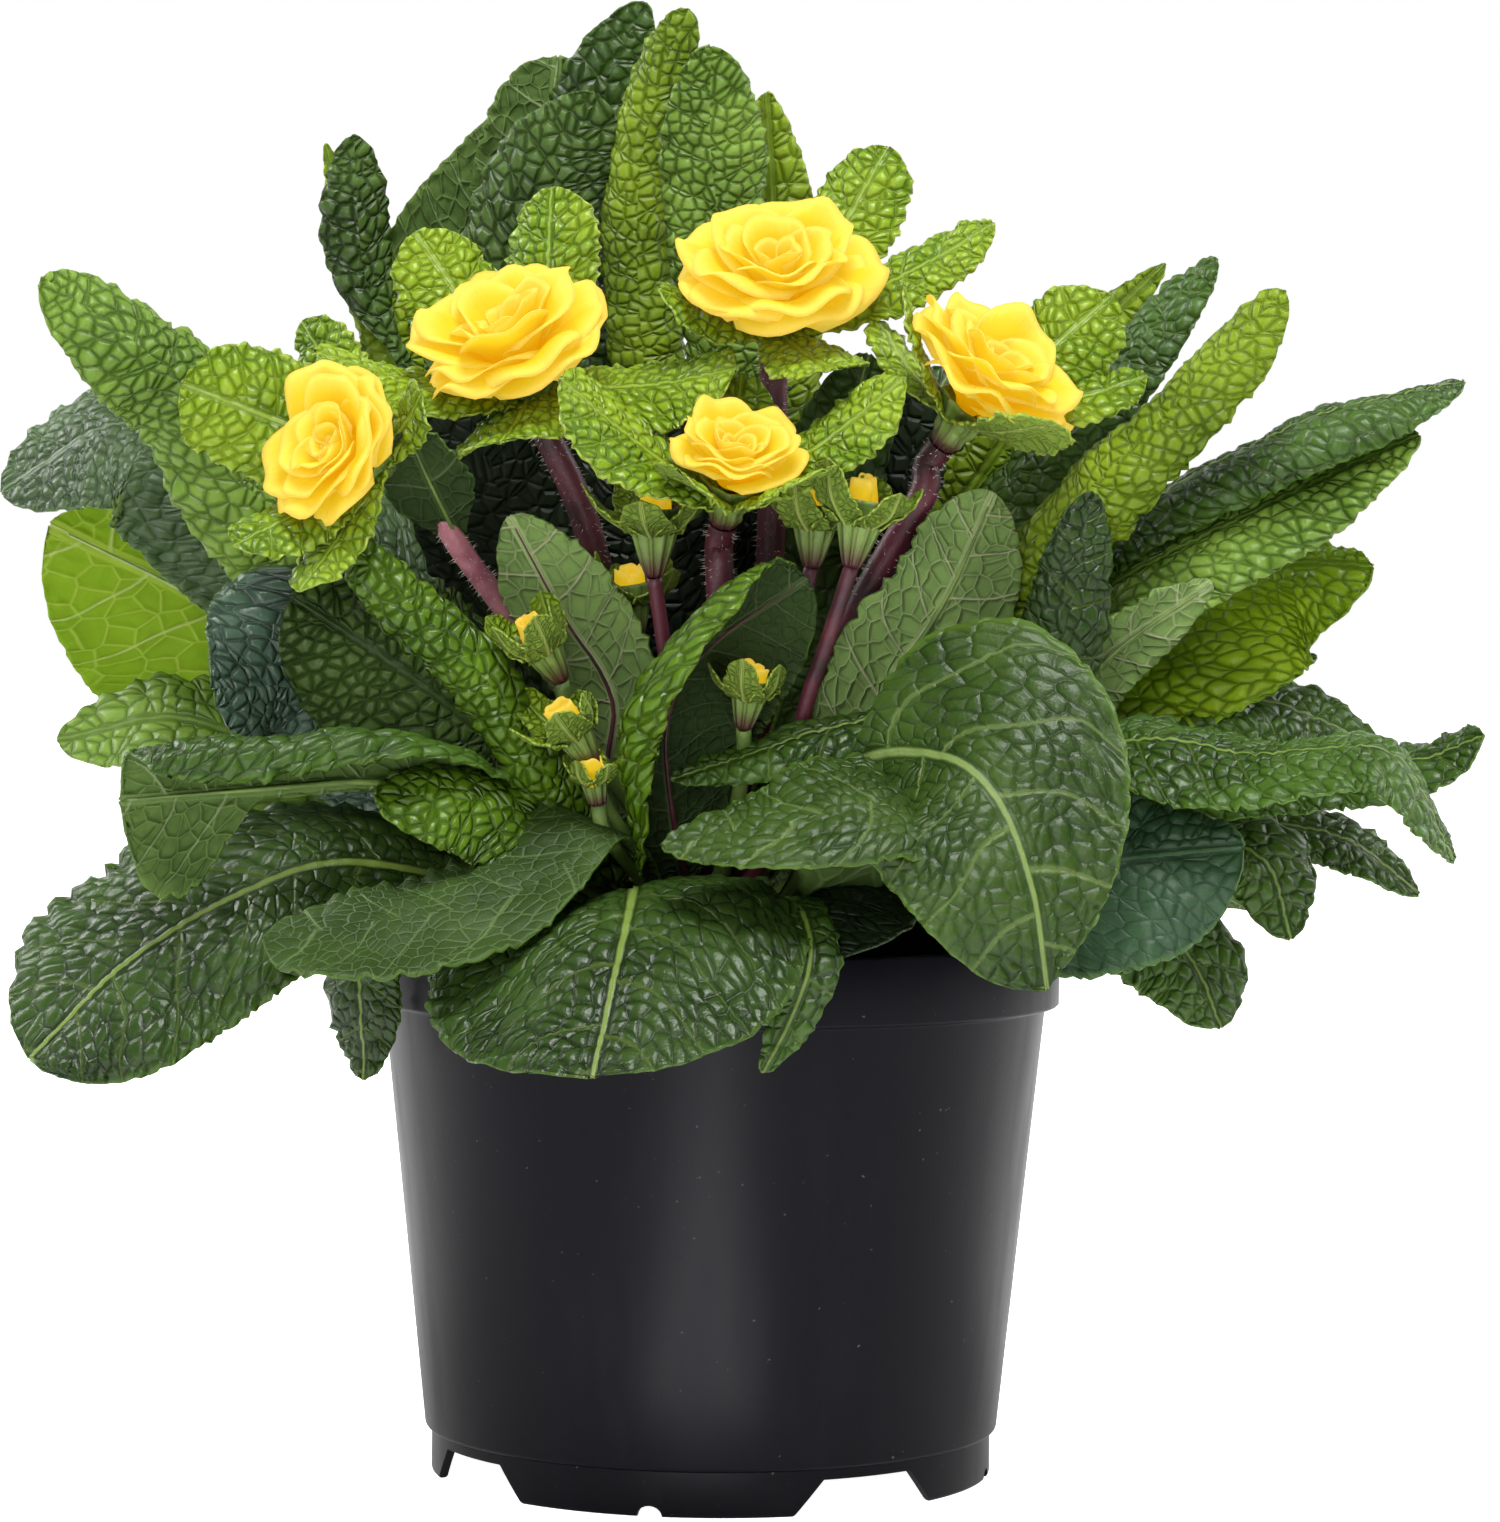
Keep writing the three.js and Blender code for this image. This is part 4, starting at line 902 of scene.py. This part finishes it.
        half=14, roll=60, spacing=7.5, pillow=0.4, rib=False),
    # dark sheets of painted shade behind the flower stalks
    filler_stalks_left=dict(tone="deep", spine=((-14, 8, 130), (-28, 6, 160), (-42, 4, 185), (-50, 2, 206)),
        face=(0, -1, 0.1), half=20, rib=False),
    filler_stalks_middle=dict(tone="deep",
        spine=((-8, 12, 130), (-10, 8, 160), (-12, 6, 185), (-12, 6, 208)), face=(0, -1, 0.1), half=22,
        rib=False),
    filler_stalks_right=dict(tone="deep", spine=((12, 12, 130), (24, 10, 160), (34, 8, 185), (40, 8, 206)),
        face=(0, -1, 0.1), half=20, rib=False),
    filler_right_deep=dict(tone="deep", spine=((24, 4, 126), (44, 0, 150), (56, -2, 172), (64, -4, 192)),
        face=(0, -1, 0.2), half=16, rib=False),
    # its underside darkened by painted shade
    filler_left_back=dict(tone="mid", under="underDark",
        spine=((-24, 0, 130), (-38, -4, 155), (-50, -30, 180), (-56, -44, 194)), face=(0, 0.9, 0.2), half=8,
        waist=0.74, widest=0.88),
    filler_top=dict(tone="mid",
        spine=((-10, 28, 136), (-22, 34, 190), (-26, 36, 235), (-24, 36, 262), (-16, 34, 281)),
        face=(0, -1, 0.1), half=13, rib=False),
    filler_tall_fold=dict(tone="mid", spine=((-14, 26, 136), (-30, 36, 190), (-36, 40, 235), (-33, 40, 271)),
        face=(0, 0.9, 0.3), half=13.5, widest=0.9),
    filler_tall_edge=dict(tone="fresh", spine=((8, 28, 136), (10, 28, 190), (10, 28, 230), (8, 27, 263)),
        face=(0, -1, 0.1), half=10),
    filler_tall_tip=dict(tone="fresh",
        spine=((-26, 28, 134), (-50, 36, 180), (-68, 36, 220), (-78, 34, 253)), face=(0, -1, 0.1), half=5),
    filler_right_tip=dict(tone="fresh", spine=((20, 8, 134), (44, 8, 180), (66, 8, 210), (84, 6, 229)),
        face=(0, -1, 0.3), half=6),
    filler_right_far=dict(tone="mid",
        spine=((50, -8, 114), (88, -12, 122), (114, -14, 122), (131, -15, 111)), face=(0, -0.6, 0.8),
        half=9),
    filler_right_low=dict(tone="mid",
        spine=((50, -14, 112), (80, -20, 122), (100, -24, 118), (106, -26, 103)), face=(0.2, -0.8, 0.5),
        half=12),
    filler_right_folded=dict(tone="dark",
        spine=((20, -20, 112), (48, -38, 136), (62, -44, 158), (67, -44, 184)), face=(0.2, -0.9, 0.2),
        half=9, roll=50, rib=False),
    filler_right_under=dict(tone="mid", under="underPale",
        spine=((40, -14, 120), (60, -26, 142), (74, -30, 157), (90, -30, 168)), face=(-0.2, 0.9, 0.3),
        half=8),
    filler_right_point=dict(tone="mid", spine=((40, 6, 116), (78, 4, 140), (100, 2, 152), (113, 0, 155)),
        face=(0, -0.7, 0.7), half=6),
    filler_right_ridge=dict(tone="mid",
        spine=((44, -6, 118), (72, -12, 139), (98, -14, 147), (124, -14, 138)), face=(0, -0.6, 0.8),
        half=12),
    # the back of the rosette, and filler_top_right behind the flower at the top
    filler_back_low_left=dict(tone="mid", spine=((-16, 32, 110), (-30, 56, 114), (-44, 84, 96)),
        face=(-0.2, 0.5, 0.85), half=22),
    filler_back_low_right=dict(tone="dark", spine=((20, 32, 110), (36, 56, 114), (52, 84, 98)),
        face=(0.2, 0.5, 0.85), half=22),
    filler_back_side_left=dict(tone="dark", spine=((-40, 10, 110), (-78, 22, 116), (-106, 36, 98)),
        face=(-0.5, 0.2, 0.85), half=20),
    filler_back_side_right=dict(tone="mid", spine=((40, 12, 112), (78, 26, 118), (108, 40, 104)),
        face=(0.5, 0.2, 0.85), half=20),
    filler_back_mid_left=dict(tone="mid", spine=((-20, 26, 124), (-50, 44, 146), (-84, 58, 150)),
        face=(-0.3, -0.2, 0.9), half=19, roll=45),
    filler_back_mid_right=dict(tone="mid", spine=((22, 28, 124), (44, 56, 146), (62, 86, 142)),
        face=(0.2, 0, 0.9), half=19, roll=45),
    filler_top_right=dict(tone="mid", spine=((13, 2, 150), (20, 3, 182), (28, 3, 211)), face=(0.1, -1, 0.1),
        half=11, roll=20),
    filler_back_mid=dict(tone="fresh", spine=((-4, 36, 124), (-12, 62, 146), (-22, 92, 146)),
        face=(0, 0.1, 0.9), half=17, roll=45),
    filler_back_high_left=dict(tone="mid", spine=((-16, 26, 130), (-34, 46, 178), (-50, 60, 214)),
        face=(0.2, -0.9, 0.3), half=17, roll=40),
    filler_back_high_right=dict(tone="mid", spine=((14, 28, 130), (28, 44, 176), (46, 58, 212)),
        face=(-0.2, -0.9, 0.3), half=17, roll=40),
)

hiddenMesh = dict(rowStep=2.2, columnStep=2.6, pillow=0.2)  # for blades behind or under all others
leafBuild = dict(thickness=0.45, clearance=0.7, sink=0.9, midribSides=8, midribStep=3.0, slimMidrib=0.55)


def addMidrib(bm, blade, spine, slim):  # it stands out under the blade
    sunk = []
    for k, (point, along) in enumerate(walkCurve(spine, [k / 10 for k in range(10)] + [0.97])[1]):
        depth = leafBuild["sink"] * (1 + (1 - k / 10))
        sunk.append(point - faceAt(blade, along, k / 10) * depth)
    addTube(bm, sunk, lambda t: slim * (0.2 + (1 - t) + 0.8 * max(0, 1 - t / 0.25)),
            leafBuild["midribSides"], leafBuild["midribStep"])


def addLeaves():
    blades, midribs = [], {}
    for i, (name, leaf) in enumerate(leaves.items()):
        hidden = "_back_" in name or leaf["tone"] == "deep"
        shape = {**plainBlade, **leaf, **(hiddenMesh if hidden else {})}
        spine = [crownPoint(leaf["spine"][0], leafBuild["clearance"]), *map(Vector, leaf["spine"])]
        bm = layeredMesh()
        addBlade(bm, {**shape, "spine": spine}, 11 * i)
        blade = newPiece(name + "_blade", bm, [leafMaterials[shape["tone"]], leafMaterials[shape["under"]]])
        addRelief(blade, shape["pillow"], leafTone(shape["tone"])["cells"])
        blades.append((name, blade, shape["slot"]))
        look = shape["midrib"]
        if shape["rib"]:
            addMidrib(midribs.setdefault(look, layeredMesh()), shape, spine,
                      leafBuild["slimMidrib"] if look == "purple" else 1)
    settle([blade for name, blade, slot in blades])
    for name, blade, slot in blades:
        addThickness(blade, leafBuild["thickness"])
        finishPiece(blade, slot, *([] if name.startswith("filler_") else [name]))
    for look, bm in midribs.items():
        finishPiece(newPiece("midribs_" + look, bm, [stalkMaterials[look]]), "leaf")


addLeaves()
print("leaves ready")


# flowers

flowerShape = dict(
    funnelLength=10, funnelRadius=6, stalkLook="purple", stalkRadius=2.6, neck=5, hairs=420,
    lobeThickness=0.4, pillow=0.42,  # height of the pillows on a lobe
    # petals in a ring, reach and half width as shares of the flower's radius, lean from its axis in degrees
    # at base and tip, and how far the sides of a petal curve inward
    rings=(
        (5, 1.0, 0.8, 34, 88, 0.2),
        (5, 0.96, 0.74, 28, 76, 0.5),
        (4, 0.84, 0.7, 20, 60, 0.9),
        (4, 0.7, 0.58, 12, 42, 1.3),
        (3, 0.54, 0.5, 3, 22, 1.6),
        (3, 0.38, 0.38, -4, 0, 1.6),
    ),
    lobe=dict(waist=-0.25, petiole=2.4, spacing=6.6, rowStep=0.72, columnStep=0.8, bulge=0.5, wave=1.4,
              crimp=0.8, tooth=0.7),
)
petalShape = dict(
    columns=18, rows=11, thickness=0.22,
    mouth=2.6, mouthStep=0.25, ringRise=0.35,  # where a ring starts, and how the next ones differ
    baseWidth=0.3, sideDrop=0.4, notchWidth=0.3, ripple=0.025, frill=(0.07, 0.045),
    lap=0.09, cup=0.16, tuck=0.08,             # how the sides bend, one over a neighbour and one under
    # the least and the most that chance gives a petal
    turn=(-0.24, 0.24), tip=(-13, 10), reach=(0.92, 1.06), width=(0.9, 1.08), notch=(0.02, 0.09),
    hem=(0, 0.16),
)

# a lobe is the place of its tip and its half width
flowers = dict(
    flower_left=dict(
        openness=0.88, seed=1, centre=(-71, -48, 192), radius=13.5, stalkLook="pink", stalkRadius=2.1,
        stalk=((-22, -6, 132), (-37, -14, 158), (-48, -25, 174), (-58, -34, 187.4)),
        lobes=((-97, -38, 202, 12), (-78, -14, 215, 7), (-86, -50, 173, 9), (-74, -54, 165, 7),
               (-53, -50, 200, 6))),
    flower_upper_left=dict(
        openness=0.95, seed=2, centre=(-39, -30, 213.5), radius=17.5,
        stalk=((-9, 4, 128), (-17, -4, 150), (-25, -14, 179), (-33, -20, 197.5)),
        lobes=((-73, -38, 208, 13), (-57, -12, 232, 10), (-32, -8, 241, 10), (3, -34, 206, 13),
               (-39, -46, 192, 12))),
    flower_top=dict(
        openness=0.98, seed=3, centre=(10.5, -25, 228), radius=17.6,
        stalk=((6, 8, 130), (9, 0, 160), (10, -8, 190), (10, -12, 210)),
        lobes=((31, 0, 250, 10), (50, -20, 234, 9), (21, -42, 206, 9), (-11, -26, 221, 9), (-2, 2, 230, 7))),
    flower_right=dict(
        openness=0.93, seed=4, centre=(53.5, -40, 211), radius=16.5,
        stalk=((12, -12, 124), (21, -25, 149), (27, -29, 165), (37, -30, 183), (40.5, -30, 192.5)),
        lobes=((33, -44, 221, 7), (60, -59, 195.5, 8), (72, -20, 221, 10), (78, -26, 206, 7),
               (29, -20, 216, 7))),
    flower_centre=dict(
        openness=0.78, seed=5, centre=(4, -48, 192.5), radius=11.3,
        stalk=((1, -10, 130), (1, -26, 150), (0.5, -36, 167), (1, -38, 177.7)),
        lobes=((-28, -51, 203, 13), (-7, -61, 187, 7), (19, -61, 187, 7), (33, -48, 204, 10),
               (4, -22, 206, 7))),
)


def addPetal(bm, base, axis, turn, mouth, reach, half, leans, cup, chance):
    shape = petalShape
    columns, rows = shape["columns"], shape["rows"]

    def leanAt(share):
        return math.radians(leans[0] + (leans[1] - leans[0]) * share ** 0.8)

    path, radial, axial = [(0.0, 0.0)], 0.0, 0.0
    for step in range(rows):
        lean = leanAt((step + 0.5) / rows)
        radial, axial = radial + math.sin(lean) / rows, axial + math.cos(lean) / rows
        path.append((radial, axial))
    zero = axis.orthogonal().normalized()
    phase, notch, hem = chance.uniform(0, 6.3), chance.uniform(*shape["notch"]), chance.uniform(*shape["hem"])
    for vert in addGrid(bm, columns, rows, 0, "blade"):
        c, s = vert.co.x, (vert.co.y + 1) / 2
        radial, axial = path[round(s * rows)]
        dent = notch * math.exp(-(c / shape["notchWidth"]) ** 2)
        ripple = shape["ripple"] * math.sin(4 * c + phase)
        long = reach * (1 - shape["sideDrop"] * abs(c) ** 2.6 - dent + ripple)
        out = mouth + long * radial
        ease = min(s / 0.8, 1)
        width = half * (shape["baseWidth"] + (1 - shape["baseWidth"]) * ease * ease * (3 - 2 * ease))
        direction = Quaternion(axis, turn + c * width / max(out, 0.5 * half)) @ zero
        lean = leanAt(s)
        inner = axis * math.sin(lean) - direction * math.cos(lean)
        wide, narrow = shape["frill"]
        frill = s ** 2 * (wide * math.sin(2.2 * math.pi * c + phase) + narrow * math.sin(1.7 * phase + 7 * c))
        curl = shape["lap"] * c * s + shape["cup"] * cup * c * c * s - shape["tuck"] * c ** 6 * s
        curl -= hem * s ** 7
        vert.co = (base + axis * (long * axial) + direction * out + inner * (half * (frill + curl))) * mm


def addPetals(name, base, axis, radius, rings, openness, seed):
    bm, chance, shape = layeredMesh(), random.Random(seed), petalShape
    for k, (count, reach, half, low, high, cup) in enumerate(rings):
        start = 2.4 * k + seed
        for petal in range(count):
            turn = start + 2 * math.pi * (petal + chance.uniform(*shape["turn"])) / count
            tip = openness * high + chance.uniform(*shape["tip"])
            long = (radius - 2) * reach * chance.uniform(*shape["reach"])
            long /= max(0.62, math.sin(math.radians(0.6 * tip)))
            width = radius * half * chance.uniform(*shape["width"])
            foot, mouth = base + axis * (shape["ringRise"] * k), shape["mouth"] - shape["mouthStep"] * k
            addPetal(bm, foot, axis, turn, mouth, long, width, (openness * low, tip), cup, chance)
    petals = newPiece(name, bm, [petalSkin])
    addThickness(petals, shape["thickness"], 0, 0)
    return petals


def funnelRadius(neck, mouth):  # a short collar, then a flare
    def radiusAt(t):
        flare = 0.25 * min(t / 0.35, 1) + 0.75 * max(0, (t - 0.35) / 0.65) ** 1.2
        return neck + (mouth - neck) * flare
    return radiusAt


hairShape = dict(long=(0.7, 1.6), radius=0.055, lean=0.4, start=0.25)


def sproutHairs(bm, spine, radius, count, chance):
    lean = hairShape["lean"]
    shares = sorted(chance.uniform(hairShape["start"], 1) for hair in range(count))
    for point, along in walkCurve(spine, shares)[1]:
        outward = Quaternion(along, chance.uniform(0, 2 * math.pi)) @ along.orthogonal().normalized()
        way = (outward + along * chance.uniform(-lean, lean)).normalized()
        long = chance.uniform(*hairShape["long"])
        middle = point + outward * (radius - 0.05) + way * long / 2
        turn = way.to_track_quat("Z", "Y").to_matrix().to_4x4()
        bmesh.ops.create_cone(bm, cap_ends=False, segments=3, radius1=hairShape["radius"] * mm, radius2=0,
                              depth=long * mm, matrix=Matrix.Translation(middle * mm) @ turn)


def addFlowers():
    hairs, chance, calyces = bmesh.new(), random.Random(5), []
    long, wide = flowerShape["funnelLength"], flowerShape["funnelRadius"]
    for i, (name, own) in enumerate(flowers.items()):
        flower = {**flowerShape, **own}
        route = [Vector(point) for point in flower["stalk"]]
        junction, thick = route[-1], flower["stalkRadius"]
        axis = (Vector(flower["centre"]) - junction).normalized()
        spine = [crownPoint(route[0], 1.4), *route[:-1], junction - axis * flower["neck"], junction]
        bm = layeredMesh()
        addTube(bm, spine, lambda t: thick * (1.06 - 0.06 * t), 16, 1.5)
        stalk = newPiece(name + "_stem", bm, [stalkMaterials[flower["stalkLook"]]])
        finishPiece(stalk, "stalk", name + "_stalk")
        sproutHairs(hairs, spine, thick, flower["hairs"], chance)

        bm = layeredMesh()
        throat = [junction + axis * (long * k / 3) for k in range(4)]
        addTube(bm, throat, funnelRadius(thick, wide), 60, 0.6, 0.035, 2)
        for k, (*tip, half) in enumerate(flower["lobes"]):
            end = Vector(tip)
            outward = squareTo(axis, end - junction)
            root = junction + axis * (0.6 * long) + outward * (0.35 * wide)
            bend = root.lerp(end, 0.5) - axis * (0.04 * (end - root).length)
            lobe = {**flower["lobe"], "spine": (root, bend, end), "face": axis, "half": half}
            addBlade(bm, lobe, 7 * i + 1.3 * k)
        calyx = newPiece(name + "_sepals", bm, [*lobeSkins, funnelSkin, funnelSkin])
        addRelief(calyx, flower["pillow"], leafTone("sepal")["cells"])
        calyces.append((calyx, name))
        petals = addPetals(name + "_rosette", junction + axis * (long - 1), axis, flower["radius"],
                           flower["rings"], flower["openness"], flower["seed"])
        finishPiece(petals, "petal", name + "_petals")
    settle([calyx for calyx, name in calyces])
    for calyx, name in calyces:
        addThickness(calyx, flowerShape["lobeThickness"])
        finishPiece(calyx, "calyx", name + "_calyx")
    finishPiece(newPiece("stalk_hairs", hairs, [hairMaterial]), "stalk")


addFlowers()
print("flowers ready")


# buds

budShape = dict(
    stemLook="green", stemRadius=1.4, lobes=5, lobeThickness=0.35,
    rings=((3, 0.8, 0.5, 12, -16, 1.6), (2, 0.6, 0.4, 4, -14, 1.6)),
    lobe=dict(waist=-0.5, widest=0.22, point=1, fold=25, spacing=4, rowStep=0.65, columnStep=0.65, bulge=0.3,
              wave=0.9, crimp=0.5, tooth=0.4),
)

buds = dict(
    bud_centre_left=dict(stemLook="purple", route=((-7, -20, 128), (-9, -28, 150), (-11.5, -34, 168)),
                         top=(-11.5, -36, 185.5)),
    bud_centre_right=dict(stemLook="purple", top=(18, -38, 186),
                          route=((4, -20, 126), (10, -30, 146), (14, -33, 157), (17, -36, 170))),
    bud_right=dict(stemLook="purple", top=(27, -46, 187),
                   route=((12, -26, 122), (16, -36, 144), (20, -41, 157), (24, -44, 170))),
    bud_left_upper=dict(route=((-15, -23, 125), (-26, -35, 142), (-28, -38, 149)), top=(-35, -42, 161)),
    bud_left_lower=dict(route=((-16, -33, 120), (-20, -39, 127), (-22, -43, 134)), top=(-29, -47, 146)),
    bud_inner=dict(route=((3, -28, 122), (5, -38, 134), (5, -43, 141)), top=(7, -46, 153.5)),
    # small buds with no solid of their own
    budlet_centre=dict(route=((-8, -12, 128), (-13, -16, 146), (-15, -18, 157)), top=(-17, -20, 171)),
    budlet_left=dict(route=((-16, -30, 116), (-20, -41, 122), (-21, -43, 127)), top=(-22.5, -45, 136)),
)


def addBuds():
    radius, lobes = budShape["stemRadius"], budShape["lobes"]
    for i, (name, own) in enumerate(buds.items()):
        bud = {**budShape, **own}
        route, top = [Vector(point) for point in bud["route"]], Vector(bud["top"])
        junction, chance = route[-1], random.Random(40 + i)
        axis, long = (top - junction).normalized(), (top - junction).length
        bm = layeredMesh()
        addTube(bm, [crownPoint(route[0], 1.4), *route], lambda t: radius * (1.1 - 0.1 * t), 12, 1.5, 0, 3)
        throat = [junction + axis * (0.72 * long * k / 3) for k in range(4)]
        addTube(bm, throat, lambda t: radius + (0.3 * long - radius) * t ** 0.8, 50, 0.6, 0.04, 2)
        zero, base = axis.orthogonal().normalized(), junction + axis * (0.42 * long)
        for k in range(lobes):
            turn = 2 * math.pi * (k + chance.uniform(-0.1, 0.1)) / lobes + i
            outward = Quaternion(axis, turn) @ zero
            root = base + outward * (0.19 * long)
            high, wide = chance.uniform(0.85, 1.2), chance.uniform(0.35, 0.8)
            end = junction + (axis * high + outward * wide) * long
            bend = root.lerp(end, 0.5) + outward * (0.08 * long) - axis * (0.04 * long)
            addBlade(bm, {**bud["lobe"], "spine": (root, bend, end), "face": axis * 0.5 - outward,
                          "half": 0.3 * long, "petiole": 0.15 * long}, 3 * i + 1.7 * k)
        head = newPiece(name + "_calyx", bm, [*lobeSkins, funnelSkin, stalkMaterials[bud["stemLook"]]])
        addThickness(head, bud["lobeThickness"])
        finishPiece(head, "calyx", *([] if name.startswith("budlet_") else [name]))
        petals = addPetals(name + "_petals", base, axis, 0.42 * long + 2, bud["rings"], 1.0, 60 + i)
        finishPiece(petals, "petal")


addBuds()
print("buds ready")
